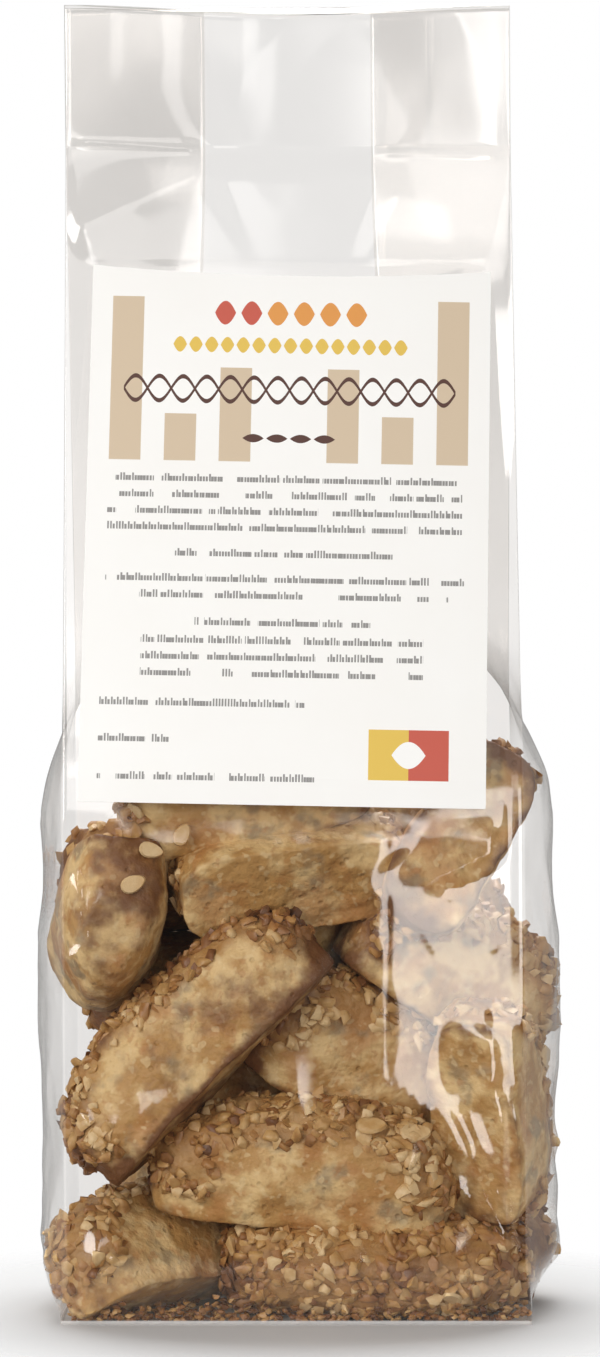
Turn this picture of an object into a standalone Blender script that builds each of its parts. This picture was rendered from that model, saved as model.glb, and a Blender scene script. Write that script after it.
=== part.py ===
"""Sealed clear bag of Sicilian almond cookies, standing on its block bottom, with a paper label on the front.

The bag is one solid out to its film: a full lower half that swells round the cookies, side gussets that
fold inwards above them, a flat band where the mouth is sealed, and the free top edge. The label is a thin
sheet that follows the front panel.
Metres, +Z up. The front faces -Y, and the origin is the middle of the base.
"""

import math

import bmesh
import bpy
from mathutils import Vector

MM = 0.001

# The empty bag
BAG_HEIGHT = 250.0 * MM
PANEL_WIDTH = 86.0 * MM
GUSSET_WIDTH = 55.0 * MM
SEAL_HEIGHT = 223.0 * MM
TOP_DIP = 1.7 * MM

# The filled bag, from its base up to the shoulder, where the panels start to close
BASE_WIDTH = 88.0 * MM
BASE_HALF_DEPTH = 25.5 * MM
BELLY_HALF_DEPTH = 26.4 * MM
BELLY_TOP = 98.0 * MM
SHOULDER_RUN = 26.0 * MM
FOOT_RUN = 14.0 * MM
PILLOW = 1.3 * MM
SLACK_PILLOW = 0.5 * MM
LEFT_SWELL = 6.1 * MM
RIGHT_SWELL = 7.85 * MM
SWELL_RIPPLE = 0.12
RIPPLE_LENGTH = 62.0 * MM

# The slack top: the gussets turn inwards between the first two heights
SWELL_TOP = 92.0 * MM
FOLD_BOTTOM = 150.0 * MM
SEAL_HALF_DEPTH = 0.8 * MM
TOP_HALF_DEPTH = 1.6 * MM
SEAL_EASE = 6.0 * MM

# Where the middle of the panels stands: the bag leans a little to the left
BASE_MIDDLE = -0.4 * MM
TOP_MIDDLE = -2.2 * MM

# The lumps that the cookies press into the panels: across, up, half length and half height in mm,
# and the tilt in degrees
LUMP_RISE = 1.5 * MM
LUMPS_TOP = 100.0 * MM
LUMPS_FADE = 14.0 * MM
FRONT_LUMPS = (
    (-20.0, 48.0, 27.0, 11.0, 48.0),
    (2.0, 31.0, 26.0, 9.0, 0.0),
    (17.0, 11.0, 25.0, 8.0, 0.0),
    (-29.0, 12.0, 15.0, 9.0, 0.0),
    (-33.0, 74.0, 12.0, 12.0, 70.0),
    (-5.0, 85.0, 22.0, 8.0, 0.0),
    (31.0, 88.0, 14.0, 7.0, 28.0),
    (31.0, 67.0, 15.0, 11.0, -20.0),
    (37.0, 40.0, 14.0, 9.0, -60.0),
)
BACK_LUMPS = (
    (-20.0, 16.0, 24.0, 10.0, 6.0),
    (22.0, 26.0, 22.0, 10.0, 62.0),
    (-23.0, 45.0, 24.0, 10.0, -34.0),
    (16.0, 62.0, 24.0, 10.0, 12.0),
    (-14.0, 84.0, 24.0, 9.0, -6.0),
)

# The label: its height is measured straight up, its top edge dips in the middle, and the gap is to the film
LABEL_WIDTH = 76.0 * MM
LABEL_HEIGHT = 102.0 * MM
LABEL_THICKNESS = 0.3 * MM
LABEL_GAP = 0.35 * MM
LABEL_CENTRE = (-2.2 * MM, 148.0 * MM)
LABEL_TURN = math.radians(-1.1)
LABEL_DIP = 1.5 * MM

# Facets: round each panel and each half gusset, up the full part, the slack part and the free top
PANEL_STEPS = 22
FOLD_STEPS = 7
FULL_STEPS = 32
SLACK_STEPS = 8
TOP_SHARES = (0.15, 0.55, 1.0)
LABEL_STEPS = (16, 20)
CREASE_ANGLE = math.radians(35)
WELD = 0.001 * MM


def smooth(low, high, value):
    """0 below low, 1 above high and a smooth rise between."""
    t = min(max((value - low) / (high - low), 0.0), 1.0)
    return t * t * (3 - 2 * t)


def mix(a, b, share):
    return a + (b - a) * share


def half_depth(z):
    """Half the distance between the front and back creases: full at the belly, closed at the seal."""
    if z > SEAL_HEIGHT:
        return mix(SEAL_HALF_DEPTH, TOP_HALF_DEPTH, (z - SEAL_HEIGHT) / (BAG_HEIGHT - SEAL_HEIGHT))
    belly = mix(BASE_HALF_DEPTH, BELLY_HALF_DEPTH, smooth(0, FOOT_RUN, z))
    slack = mix(BELLY_HALF_DEPTH, SEAL_HALF_DEPTH, (z - BELLY_TOP) / (SEAL_HEIGHT - BELLY_TOP))
    return mix(belly, slack, smooth(BELLY_TOP - SHOULDER_RUN / 2, BELLY_TOP + SHOULDER_RUN / 2, z))


def half_width(z):
    return mix(BASE_WIDTH, PANEL_WIDTH, smooth(0, FOOT_RUN, z)) / 2


def middle(z):
    return mix(BASE_MIDDLE, TOP_MIDDLE, z / BAG_HEIGHT)


def fold_offset(z, swell):
    """How far the gusset's middle fold lies outside the creases. Above the cookies it turns inwards."""
    ripple = 1 - SWELL_RIPPLE * (1 - math.cos(2 * math.pi * z / RIPPLE_LENGTH)) / 2
    outwards = swell * ripple * smooth(0, FOOT_RUN, z)
    inwards = -math.sqrt((GUSSET_WIDTH / 2) ** 2 - half_depth(z) ** 2)
    return mix(outwards, inwards, smooth(SWELL_TOP, FOLD_BOTTOM, z))


def lump_height(x, z, lumps):
    """How far the cookies press the film outwards at a point of a panel."""
    most = 0.0
    for across, up, half_length, half_height, tilt in lumps:
        turn = math.radians(tilt)
        dx, dz = x - across * MM, z - up * MM
        along = (dx * math.cos(turn) + dz * math.sin(turn)) / (half_length * MM)
        over = (dz * math.cos(turn) - dx * math.sin(turn)) / (half_height * MM)
        most = max(most, math.exp(-(along**4) - over**4))
    return LUMP_RISE * most * (1 - smooth(LUMPS_TOP - LUMPS_FADE, LUMPS_TOP, z))


def panel_point(share, z, lumps, side):
    """A point of the front panel (side -1) or the back one (side 1): share 0 is its left crease, 1 its right.

    The panel is a soft pillow between its creases, with the lumps of the cookies on it.
    """
    x = middle(z) + half_width(z) * (2 * share - 1)
    edge = 1 - (2 * share - 1) ** 4
    fullness = mix(PILLOW, SLACK_PILLOW, smooth(LUMPS_TOP - LUMPS_FADE, FOLD_BOTTOM, z))
    pillow = fullness * smooth(0, SEAL_EASE, SEAL_HEIGHT - z)
    bulge = edge * (pillow + lump_height(x, z, lumps)) * smooth(0, FOOT_RUN, z)
    return Vector((x, side * (half_depth(z) + bulge), z))


def front_point(share, z):
    return panel_point(share, z, FRONT_LUMPS, -1)


def back_point(share, z):
    return panel_point(share, z, BACK_LUMPS, 1)


def gusset_point(share, z, side):
    """A point of a side gusset: share 0 is its front crease, 0.5 its middle fold and 1 its back crease."""
    offset = fold_offset(z, RIGHT_SWELL if side > 0 else LEFT_SWELL)
    to_fold = 1 - abs(2 * share - 1)
    rounded = mix(math.sin(to_fold * math.pi / 2), to_fold, smooth(SWELL_TOP, FOLD_BOTTOM, z))
    x = middle(z) + side * (half_width(z) + offset * rounded)
    return Vector((x, half_depth(z) * (2 * share - 1), z))


def section(z):
    """One closed ring of the bag: front panel, right gusset, back panel, left gusset."""
    panel_shares = [i / PANEL_STEPS for i in range(PANEL_STEPS)]
    fold_shares = [i / (2 * FOLD_STEPS) for i in range(2 * FOLD_STEPS)]
    ring = [front_point(share, z) for share in panel_shares]
    ring += [gusset_point(share, z, 1) for share in fold_shares]
    ring += [back_point(1 - share, z) for share in panel_shares]
    ring += [gusset_point(1 - share, z, -1) for share in fold_shares]
    if z >= BAG_HEIGHT:
        for point in ring:
            point.z -= TOP_DIP * math.cos(point.x / PANEL_WIDTH * math.pi) ** 2
    return ring


def levels():
    """The heights of the rings: close together where the bag is full, wider where it is slack."""
    full = [mix(0.0, FOLD_BOTTOM, i / FULL_STEPS) for i in range(FULL_STEPS)]
    slack = [mix(FOLD_BOTTOM, SEAL_HEIGHT, i / SLACK_STEPS) for i in range(SLACK_STEPS + 1)]
    return full + slack + [mix(SEAL_HEIGHT, BAG_HEIGHT, share) for share in TOP_SHARES]


def new_object(name, bm, material):
    """Turns the faces outwards, triangulates them and links the mesh to the scene."""
    bmesh.ops.recalc_face_normals(bm, faces=bm.faces)
    bmesh.ops.triangulate(bm, faces=bm.faces)
    mesh = bpy.data.meshes.new(name)
    bm.to_mesh(mesh)
    bm.free()
    mesh.shade_smooth()
    mesh.set_sharp_from_angle(angle=CREASE_ANGLE)
    mesh.materials.append(material)
    bpy.context.scene.collection.objects.link(bpy.data.objects.new(name, mesh))


def make_material(name, colour, roughness):
    material = bpy.data.materials.new(name)
    material.use_nodes = True
    shader = material.node_tree.nodes["Principled BSDF"]
    shader.inputs["Base Color"].default_value = (*colour, 1.0)
    shader.inputs["Roughness"].default_value = roughness
    shader.inputs["Metallic"].default_value = 0.0
    return material


def make_bag(material):
    """A grid bent round into the bag's rings, welded along its seam and closed at the base and the top."""
    rings = [section(z) for z in levels()]
    around, up = len(rings[0]), len(rings) - 1
    bm = bmesh.new()
    bmesh.ops.create_grid(bm, x_segments=around, y_segments=up, size=0.5)
    for vert in bm.verts:
        column, row = round((vert.co.x + 0.5) * around), round((vert.co.y + 0.5) * up)
        vert.co = rings[row][column % around]
    bmesh.ops.remove_doubles(bm, verts=bm.verts, dist=WELD)
    bmesh.ops.holes_fill(bm, edges=bm.edges)
    new_object("bag", bm, material)


def make_label(material):
    """A sheet cut to the label's size, laid on the front panel, turned a little and given its thickness."""
    columns, rows = LABEL_STEPS
    bm = bmesh.new()
    bmesh.ops.create_grid(bm, x_segments=columns, y_segments=rows, size=0.5)
    for vert in bm.verts:
        dip = LABEL_DIP * (1 - (2 * vert.co.x) ** 2) * (vert.co.y + 0.5)
        across, up = vert.co.x * LABEL_WIDTH, vert.co.y * LABEL_HEIGHT - dip
        x = LABEL_CENTRE[0] + across * math.cos(LABEL_TURN) - up * math.sin(LABEL_TURN)
        z = LABEL_CENTRE[1] + across * math.sin(LABEL_TURN) + up * math.cos(LABEL_TURN)
        share = ((x - middle(z)) / half_width(z) + 1) / 2
        vert.co = front_point(share, z) - Vector((0, LABEL_GAP, 0))
    face_region = bmesh.ops.extrude_face_region(bm, geom=bm.faces[:])["geom"]
    outer = [part for part in face_region if isinstance(part, bmesh.types.BMVert)]
    bmesh.ops.translate(bm, verts=outer, vec=(0, -LABEL_THICKNESS, 0))
    new_object("label", bm, material)


def main():
    for obj in list(bpy.data.objects):
        bpy.data.objects.remove(obj)
    make_bag(make_material("bag_film", (0.62, 0.44, 0.25), 0.2))
    make_label(make_material("label_paper", (0.9, 0.9, 0.88), 0.55))


main()
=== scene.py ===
"""Looks of a sealed clear bag of Sicilian almond cookies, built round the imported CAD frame.

The bag's solid is replaced by its clear film, with the cookies, their coat of chopped almonds, the almond
flakes and the crumbs inside. The paper label is the CAD's own, with its printed face.
Metres, +Z up. The front of the bag faces -Y.
"""

import logging
import math
from dataclasses import dataclass, field
from enum import Enum
from typing import ClassVar

import bmesh
import bpy
import numpy as np
from mathutils import Matrix, Vector, noise
from mathutils.bvhtree import BVHTree


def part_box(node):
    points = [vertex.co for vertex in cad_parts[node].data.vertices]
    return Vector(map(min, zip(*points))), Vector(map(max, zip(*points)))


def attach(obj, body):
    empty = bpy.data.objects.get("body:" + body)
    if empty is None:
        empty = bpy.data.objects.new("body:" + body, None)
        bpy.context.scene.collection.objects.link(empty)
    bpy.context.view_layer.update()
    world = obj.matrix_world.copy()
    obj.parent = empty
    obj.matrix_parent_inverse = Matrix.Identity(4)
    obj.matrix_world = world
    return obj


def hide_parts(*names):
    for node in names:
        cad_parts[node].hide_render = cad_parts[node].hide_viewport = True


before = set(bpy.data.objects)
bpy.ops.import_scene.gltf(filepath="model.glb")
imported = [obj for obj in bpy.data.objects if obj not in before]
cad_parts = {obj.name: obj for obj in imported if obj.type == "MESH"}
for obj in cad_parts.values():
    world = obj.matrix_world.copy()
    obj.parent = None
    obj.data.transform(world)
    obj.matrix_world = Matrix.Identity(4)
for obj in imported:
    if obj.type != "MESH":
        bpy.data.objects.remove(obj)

logging.basicConfig(level=logging.INFO, format="%(message)s")
LOG = logging.getLogger("almond_cookie_bag")

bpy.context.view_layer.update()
BODY = "root"
MM = 0.001
# Two numbers, a colour or a place, and the left, right, bottom and top of a print
Pair = tuple[float, float]
Triple = tuple[float, float, float]
Sides = tuple[float, float, float, float]


def smooth(low: float, high: float, value: np.ndarray) -> np.ndarray:
    """Rises smoothly from 0 at low to 1 at high.

    Args:
        low: The value at which the rise starts.
        high: The value at which the rise ends.
        value: One number or an array.

    Returns:
        The share of the rise, of the same shape as value.
    """
    t = np.clip((value - low) / (high - low), 0.0, 1.0)
    return t * t * (3 - 2 * t)


def mix(a: np.ndarray, b: np.ndarray, share: np.ndarray) -> np.ndarray:
    """Returns the blend from a, at share 0, to b, at share 1."""
    return a + (b - a) * share


def unit(rows: np.ndarray) -> np.ndarray:
    """Returns rows of vectors, each brought to length 1."""
    return rows / np.linalg.norm(rows, axis=1)[:, None]


def add_piece(name: str, mesh: bpy.types.Mesh, material: bpy.types.Material) -> bpy.types.Object:
    """Links a finished mesh to the scene as a piece of the bag's film and contents.

    Args:
        name: The piece's name.
        mesh: Its mesh, already in place.
        material: Its only material.

    Returns:
        The new object.
    """
    mesh.materials.append(material)
    piece = bpy.data.objects.new(name, mesh)
    bpy.context.scene.collection.objects.link(piece)
    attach(piece, BODY)
    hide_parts("bag")
    LOG.info("%s: %d faces", name, len(mesh.polygons))
    return piece


def set_values(mesh: bpy.types.Mesh, name: str, values: np.ndarray) -> None:
    """Stores one number a vertex on a mesh, for its material to read.

    Args:
        mesh: The mesh.
        name: The attribute's name.
        values: One number for each vertex.
    """
    attribute = mesh.attributes.new(name, "FLOAT", "POINT")
    attribute.data.foreach_set("value", np.asarray(values, np.float32))


def points_of(mesh: bpy.types.Mesh) -> np.ndarray:
    """Reads a mesh's vertices.

    Args:
        mesh: The mesh.

    Returns:
        The vertices as rows (x, y, z).
    """
    flat = np.empty(len(mesh.vertices) * 3, np.float32)
    mesh.vertices.foreach_get("co", flat)
    return flat.reshape(-1, 3).astype(float)


def triangles_of(mesh: bpy.types.Mesh) -> np.ndarray:
    """Reads the faces of a mesh of triangles.

    Args:
        mesh: The mesh.

    Returns:
        The faces as rows of three vertex numbers.
    """
    flat = np.empty(len(mesh.loops), np.int32)
    mesh.loops.foreach_get("vertex_index", flat)
    return flat.reshape(-1, 3)


@dataclass(frozen=True)
class PhotoView:
    """Where the photograph was taken from, and how its pixels lie on the bag."""

    image_size: tuple[int, int] = (600, 1357)
    distance: float = 800 * MM
    pixel_at_middle: float = 0.1927 * MM
    middle_column: float = 298.5
    eye_height: float = 120.6 * MM
    sensor: float = 36.0

    @property
    def focal_pixels(self) -> float:
        """Returns the focal length in pixels of the photograph."""
        return self.distance / self.pixel_at_middle

    def place(self, column: float, row: float, depth: float) -> Vector:
        """Finds the point that a pixel shows at a known depth.

        Args:
            column: The pixel's column.
            row: The pixel's row.
            depth: Y of the point, in metres, less than 0 in front of the bag's middle.

        Returns:
            The point in the frame.
        """
        scale = (self.distance + depth) / self.focal_pixels
        across = (column - self.middle_column) * scale
        return Vector((across, depth, self.eye_height - (row - self.image_size[1] / 2) * scale))

    def add_camera(self) -> None:
        """Sets up the camera, level with the middle of the bag."""
        data = bpy.data.cameras.new("photo_camera")
        data.sensor_fit = "VERTICAL"
        data.sensor_height = self.sensor
        data.lens = self.focal_pixels * self.sensor / self.image_size[1]
        camera = bpy.data.objects.new("photo_camera", data)
        offset = (self.image_size[0] / 2 - self.middle_column) * self.pixel_at_middle
        camera.location = (offset, -self.distance, self.eye_height)
        camera.rotation_euler = (math.pi / 2, 0, 0)
        bpy.context.scene.collection.objects.link(camera)
        bpy.context.scene.camera = camera


@dataclass(frozen=True)
class BagForm:
    """The form of the filled bag, with the sizes that the CAD gives it."""

    height: float = 250 * MM
    panel_width: float = 86 * MM
    gusset_width: float = 55 * MM
    seal_height: float = 223 * MM
    top_dip: float = 1.7 * MM
    base_width: float = 88 * MM
    base_half_depth: float = 25.5 * MM
    belly_half_depth: float = 26.4 * MM
    belly_top: float = 98 * MM
    shoulder_run: float = 26 * MM
    foot_run: float = 14 * MM
    left_swell: float = 6.1 * MM
    right_swell: float = 7.85 * MM
    swell_ripple: float = 0.12
    ripple_length: float = 62 * MM
    swell_top: float = 92 * MM
    fold_bottom: float = 150 * MM
    seal_half_depth: float = 0.8 * MM
    top_half_depth: float = 1.6 * MM
    base_middle: float = -0.4 * MM
    top_middle: float = -2.2 * MM

    def half_depth(self, z: np.ndarray) -> np.ndarray:
        """Works out half the distance between the front and back creases.

        Args:
            z: The height.

        Returns:
            The half distance there.
        """
        belly = mix(self.base_half_depth, self.belly_half_depth, smooth(0, self.foot_run, z))
        taper = (z - self.belly_top) / (self.seal_height - self.belly_top)
        slack = mix(self.belly_half_depth, self.seal_half_depth, taper)
        reach = self.shoulder_run / 2
        closing = mix(belly, slack, smooth(self.belly_top - reach, self.belly_top + reach, z))
        free = (z - self.seal_height) / (self.height - self.seal_height)
        above = mix(self.seal_half_depth, self.top_half_depth, free)
        return np.where(z > self.seal_height, above, closing)

    def half_width(self, z: np.ndarray) -> np.ndarray:
        """Returns half the width of a panel between its creases at a height."""
        return mix(self.base_width, self.panel_width, smooth(0, self.foot_run, z)) / 2

    def middle(self, z: np.ndarray) -> np.ndarray:
        """Returns X of the middle of the panels at a height."""
        return mix(self.base_middle, self.top_middle, z / self.height)

    def fold_offset(self, z: np.ndarray, swell: float) -> np.ndarray:
        """Says how far a gusset's middle fold lies outside the creases.

        Args:
            z: The height.
            swell: How far the gusset bulges where the bag is full.

        Returns:
            The offset, less than 0 where the gusset is folded in.
        """
        ripple = 1 - self.swell_ripple * (1 - np.cos(2 * math.pi * z / self.ripple_length)) / 2
        outwards = swell * ripple * smooth(0, self.foot_run, z)
        inwards = -np.sqrt((self.gusset_width / 2) ** 2 - self.half_depth(z) ** 2)
        return mix(outwards, inwards, smooth(self.swell_top, self.fold_bottom, z))

    def roundness(self, z: np.ndarray) -> np.ndarray:
        """Returns 1 where the gussets are round and 0 where they are folded flat."""
        return 1 - smooth(self.swell_top, self.fold_bottom, z)


FORM = BagForm()
VIEW = PhotoView()
LEAST_HEIGHT = 1.0 * MM
SIDE_ROOM = 1.0 * MM
SWELL_SEED = 1


class Side(Enum):
    """Which side of a cookie is turned towards the front, as a turn about its long axis in degrees."""

    FACE = 0.0
    TIPPED = -12.0
    SHOULDER = 34.0
    ARCH = 80.0


@dataclass
class Cookie:
    """One almond cookie: a small loaf with a flat base, two smooth faces and an arch coated with nuts."""

    name: str
    centre: Vector
    roll: float = 0.0
    yaw: float = 0.0
    pitch: float = 0.0
    side: Side = Side.FACE
    size: Triple = (60.0, 24.0, 20.0)
    bake: float = 0.5
    taper: float = 0.28
    spill: float = 0.0
    seed: int = 0
    turn: Matrix = field(init=False)

    FACE_ROUNDING: ClassVar[float] = 3.3
    ARCH_ROUNDING: ClassVar[float] = 2.5
    BASE_ROUNDING: ClassVar[float] = 3.6
    ARCH_SHARE: ClassVar[float] = 0.62
    BASE_REACH: ClassVar[float] = 0.78
    BASE_SOFTNESS: ClassVar[float] = 0.35 * MM
    LEAN: ClassVar[float] = 0.16
    CORE_RADIUS: ClassVar[float] = 0.45
    CORE_PLAY: ClassVar[float] = 0.97
    ARCH_CORES: ClassVar[tuple[float, ...]] = (-0.62, -0.2, 0.2, 0.62)
    # Layers of unevenness: how many bumps there are in a metre, and their height in mm
    SWELL: ClassVar[Pair] = (48, 1.3)
    LUMPS: ClassVar[Pair] = (140, 0.55)
    SMALL_LUMPS: ClassVar[Pair] = (270, 0.3)
    GRAIN: ClassVar[Pair] = (420, 0.22)
    CRAGS: ClassVar[Pair] = (230, 1.9)
    WRINKLES: ClassVar[Pair] = (96, 3.4)
    WRINKLE_WIDTH: ClassVar[float] = 0.16
    NUT_BORDER: ClassVar[float] = 0.84
    NUT_FOOT: ClassVar[Pair] = (0.16, 0.36)

    def __post_init__(self) -> None:
        """Works out the cookie's turn from its angles."""
        lean = Matrix.Rotation(math.radians(-self.pitch), 3, "X")
        lean = lean @ Matrix.Rotation(math.radians(self.yaw), 3, "Z")
        spin = Matrix.Rotation(math.radians(self.side.value), 3, "X")
        self.turn = lean @ Matrix.Rotation(math.radians(-self.roll), 3, "Y") @ spin

    def spheres(self) -> tuple[np.ndarray, np.ndarray]:
        """Stands a few balls in for the cookie, for packing it into the bag.

        Returns:
            The balls' centres in the cookie's own axes, and their radii.
        """
        length, height, thickness = (value * MM for value in self.size)
        radius = self.CORE_RADIUS * min(thickness, height)
        reach, rise = length / 2 - radius, max(height / 2 - radius, 0.0)
        aside = max(thickness / 2 - radius, 0.0)
        low = [(reach * share, aside, -rise) for share in (-1.0, 0.0, 1.0)]
        low += [(reach * share, -aside, -rise) for share in (-1.0, -0.5, 0.5, 1.0)]
        high = [(reach * share, 0.0, rise) for share in self.ARCH_CORES]
        centres = np.array(low + high)
        return centres, np.full(len(centres), radius * self.CORE_PLAY)

    def outline(self, direction: Vector) -> tuple[Vector, float, float]:
        """Finds the point of the bare cookie that lies in a direction from its middle.

        Args:
            direction: A unit vector in the cookie's own axes.

        Returns:
            The point, how far out it lies from the middle of the face (0 to 1), and its height
            above the base.
        """
        length, height, thickness = (value * MM for value in self.size)
        across, out = math.hypot(direction.x, direction.z), abs(direction.y)
        power = self.FACE_ROUNDING
        reach = (across**power + out**power) ** (-1 / power)
        rim, depth = across * reach, direction.y * reach
        angle = math.atan2(direction.z, direction.x)
        c, s = math.cos(angle), math.sin(angle)
        power = self.ARCH_ROUNDING if s > 0 else self.BASE_ROUNDING
        round_off = (abs(c) ** power + abs(s) ** power) ** (-1 / power)
        half = height * (self.ARCH_SHARE if s > 0 else self.BASE_REACH)
        rise = s * round_off * rim
        lean = self.LEAN * math.sin(self.seed * 1.9)
        thin = 1 - self.taper * max(rise, 0.0) ** 1.5 - 0.08 * lean * c
        up = half * rise * (1 + lean * c * max(rise, 0.0)) + height * (1 - self.ARCH_SHARE)
        if up < 8 * self.BASE_SOFTNESS:
            up = self.BASE_SOFTNESS * math.log1p(math.exp(up / self.BASE_SOFTNESS))
        point = Vector((length / 2 * c * round_off * rim, thickness / 2 * depth * thin, up - height / 2))
        return point, rim, up

    def bump(self, point: Vector, drift: Vector, wave: Pair) -> float:
        """Works out one layer of unevenness.

        Args:
            point: The point in the cookie's own axes.
            drift: Where in the noise the cookie lies.
            wave: How many bumps there are in a metre, and their height in mm.

        Returns:
            The rise of the crust, in metres.
        """
        return noise.noise(point * wave[0] + drift) * wave[1] * MM

    def build(self, finish: "CrustFinish") -> bpy.types.Object:
        """Makes the cookie's mesh, in place, with the zones that its finish reads.

        Args:
            finish: The crust's finish.

        Returns:
            The cookie.
        """
        bm = bmesh.new()
        bmesh.ops.create_icosphere(bm, subdivisions=5, radius=1.0)
        drift = Vector((self.seed * 3.7, self.seed * -2.3, self.seed * 5.1))
        coat, brown = [], []
        for vert in bm.verts:
            direction = vert.co.normalized()
            point, rim, up = self.outline(direction)
            swell = noise.noise_vector(point * self.SWELL[0] + drift) * self.SWELL[1] * MM
            lump = self.bump(point, drift, self.LUMPS) + self.bump(point, -drift, self.SMALL_LUMPS)
            grain = self.bump(point, drift, self.GRAIN)
            edge = noise.noise(point * 110 - drift) + 0.6 * noise.noise(point * 320 - drift)
            border = self.NUT_BORDER - self.spill - 0.22 * noise.noise(point * 42 - drift)
            nuts = smooth(border - 0.05, border + 0.07, rim + 0.07 * edge)
            nuts *= smooth(*self.NUT_FOOT, up / (self.size[1] * MM) + 0.06 * edge)
            crag = abs(self.bump(point, drift, self.CRAGS)) * nuts
            groove = self.WRINKLE_WIDTH - abs(noise.noise(point * self.WRINKLES[0] - drift))
            wrinkle = max(groove, 0.0) * self.WRINKLES[1] * MM * (1 - nuts)
            vert.co = point + swell + direction * (lump + grain + crag - wrinkle)
            coat.append(nuts)
            brown.append(self.browning(rim, up, edge, point))
        place = Matrix.Translation(self.centre) @ self.turn.to_4x4()
        bmesh.ops.transform(bm, matrix=place, verts=bm.verts)
        for vert in bm.verts:
            vert.co = Vector(kept_in_bag(vert.co))
        mesh = bpy.data.meshes.new(self.name)
        bm.to_mesh(mesh)
        bm.free()
        mesh.shade_smooth()
        set_values(mesh, "nut_coat", np.array(coat))
        set_values(mesh, "browning", np.array(brown))
        return add_piece(self.name, mesh, finish.material())

    def browning(self, rim: float, up: float, edge: float, point: Vector) -> float:
        """Says how brown the cookie is baked at a point.

        Args:
            rim: How far out the point lies from the middle of the face.
            up: Its height above the base.
            edge: A noise value that breaks up the border.
            point: The point in the cookie's own axes.

        Returns:
            0 for pale to 1 for dark brown.
        """
        length, height, thickness = (value * MM for value in self.size)
        ends = smooth(0.62, 1.0, abs(point.x) / (length / 2) + 0.08 * edge) * 0.3
        patch = max(noise.noise(point * 62 + Vector((self.seed, 0, 0))), 0.0) * 0.55
        if up < 0.9 * self.BASE_SOFTNESS:
            out = max(abs(point.x) / (length / 2), abs(point.y) / (thickness / 2))
            glow = 0.22 + 0.5 * smooth(0.72, 1.0, out + 0.05 * edge)
        else:
            glow = 0.6 * math.exp(-((up / (1.2 * MM)) ** 2)) + 0.36 * smooth(0.74, 1.0, rim + 0.12 * edge)
        return float(np.clip((glow + ends + patch) * (0.5 + self.bake), 0, 1))


def contents_depth(z: np.ndarray) -> np.ndarray:
    """Returns how far from the middle a cookie may reach at a height, less where the label lies flat."""
    return FORM.half_depth(z) + mix(0.9 * MM, -1.6 * MM, smooth(88 * MM, 95 * MM, z))


def kept_in_bag(place: Vector) -> Triple:
    """Draws a point in to where the film holds it.

    Args:
        place: A point on a cookie.

    Returns:
        The point, moved where it would press too far through the film.
    """
    z = max(place.z, LEAST_HEIGHT)
    depth = float(contents_depth(z))
    middle, wide = float(FORM.middle(z)), float(FORM.half_width(z))
    full = float(FORM.roundness(z)) * max(1 - (place.y / depth) ** 2, 0.0) ** 0.5
    left = middle - wide - (FORM.left_swell - SIDE_ROOM) * full
    right = middle + wide + (FORM.right_swell - SIDE_ROOM) * full
    return min(max(place.x, left), right), min(max(place.y, -depth), depth), z


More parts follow.
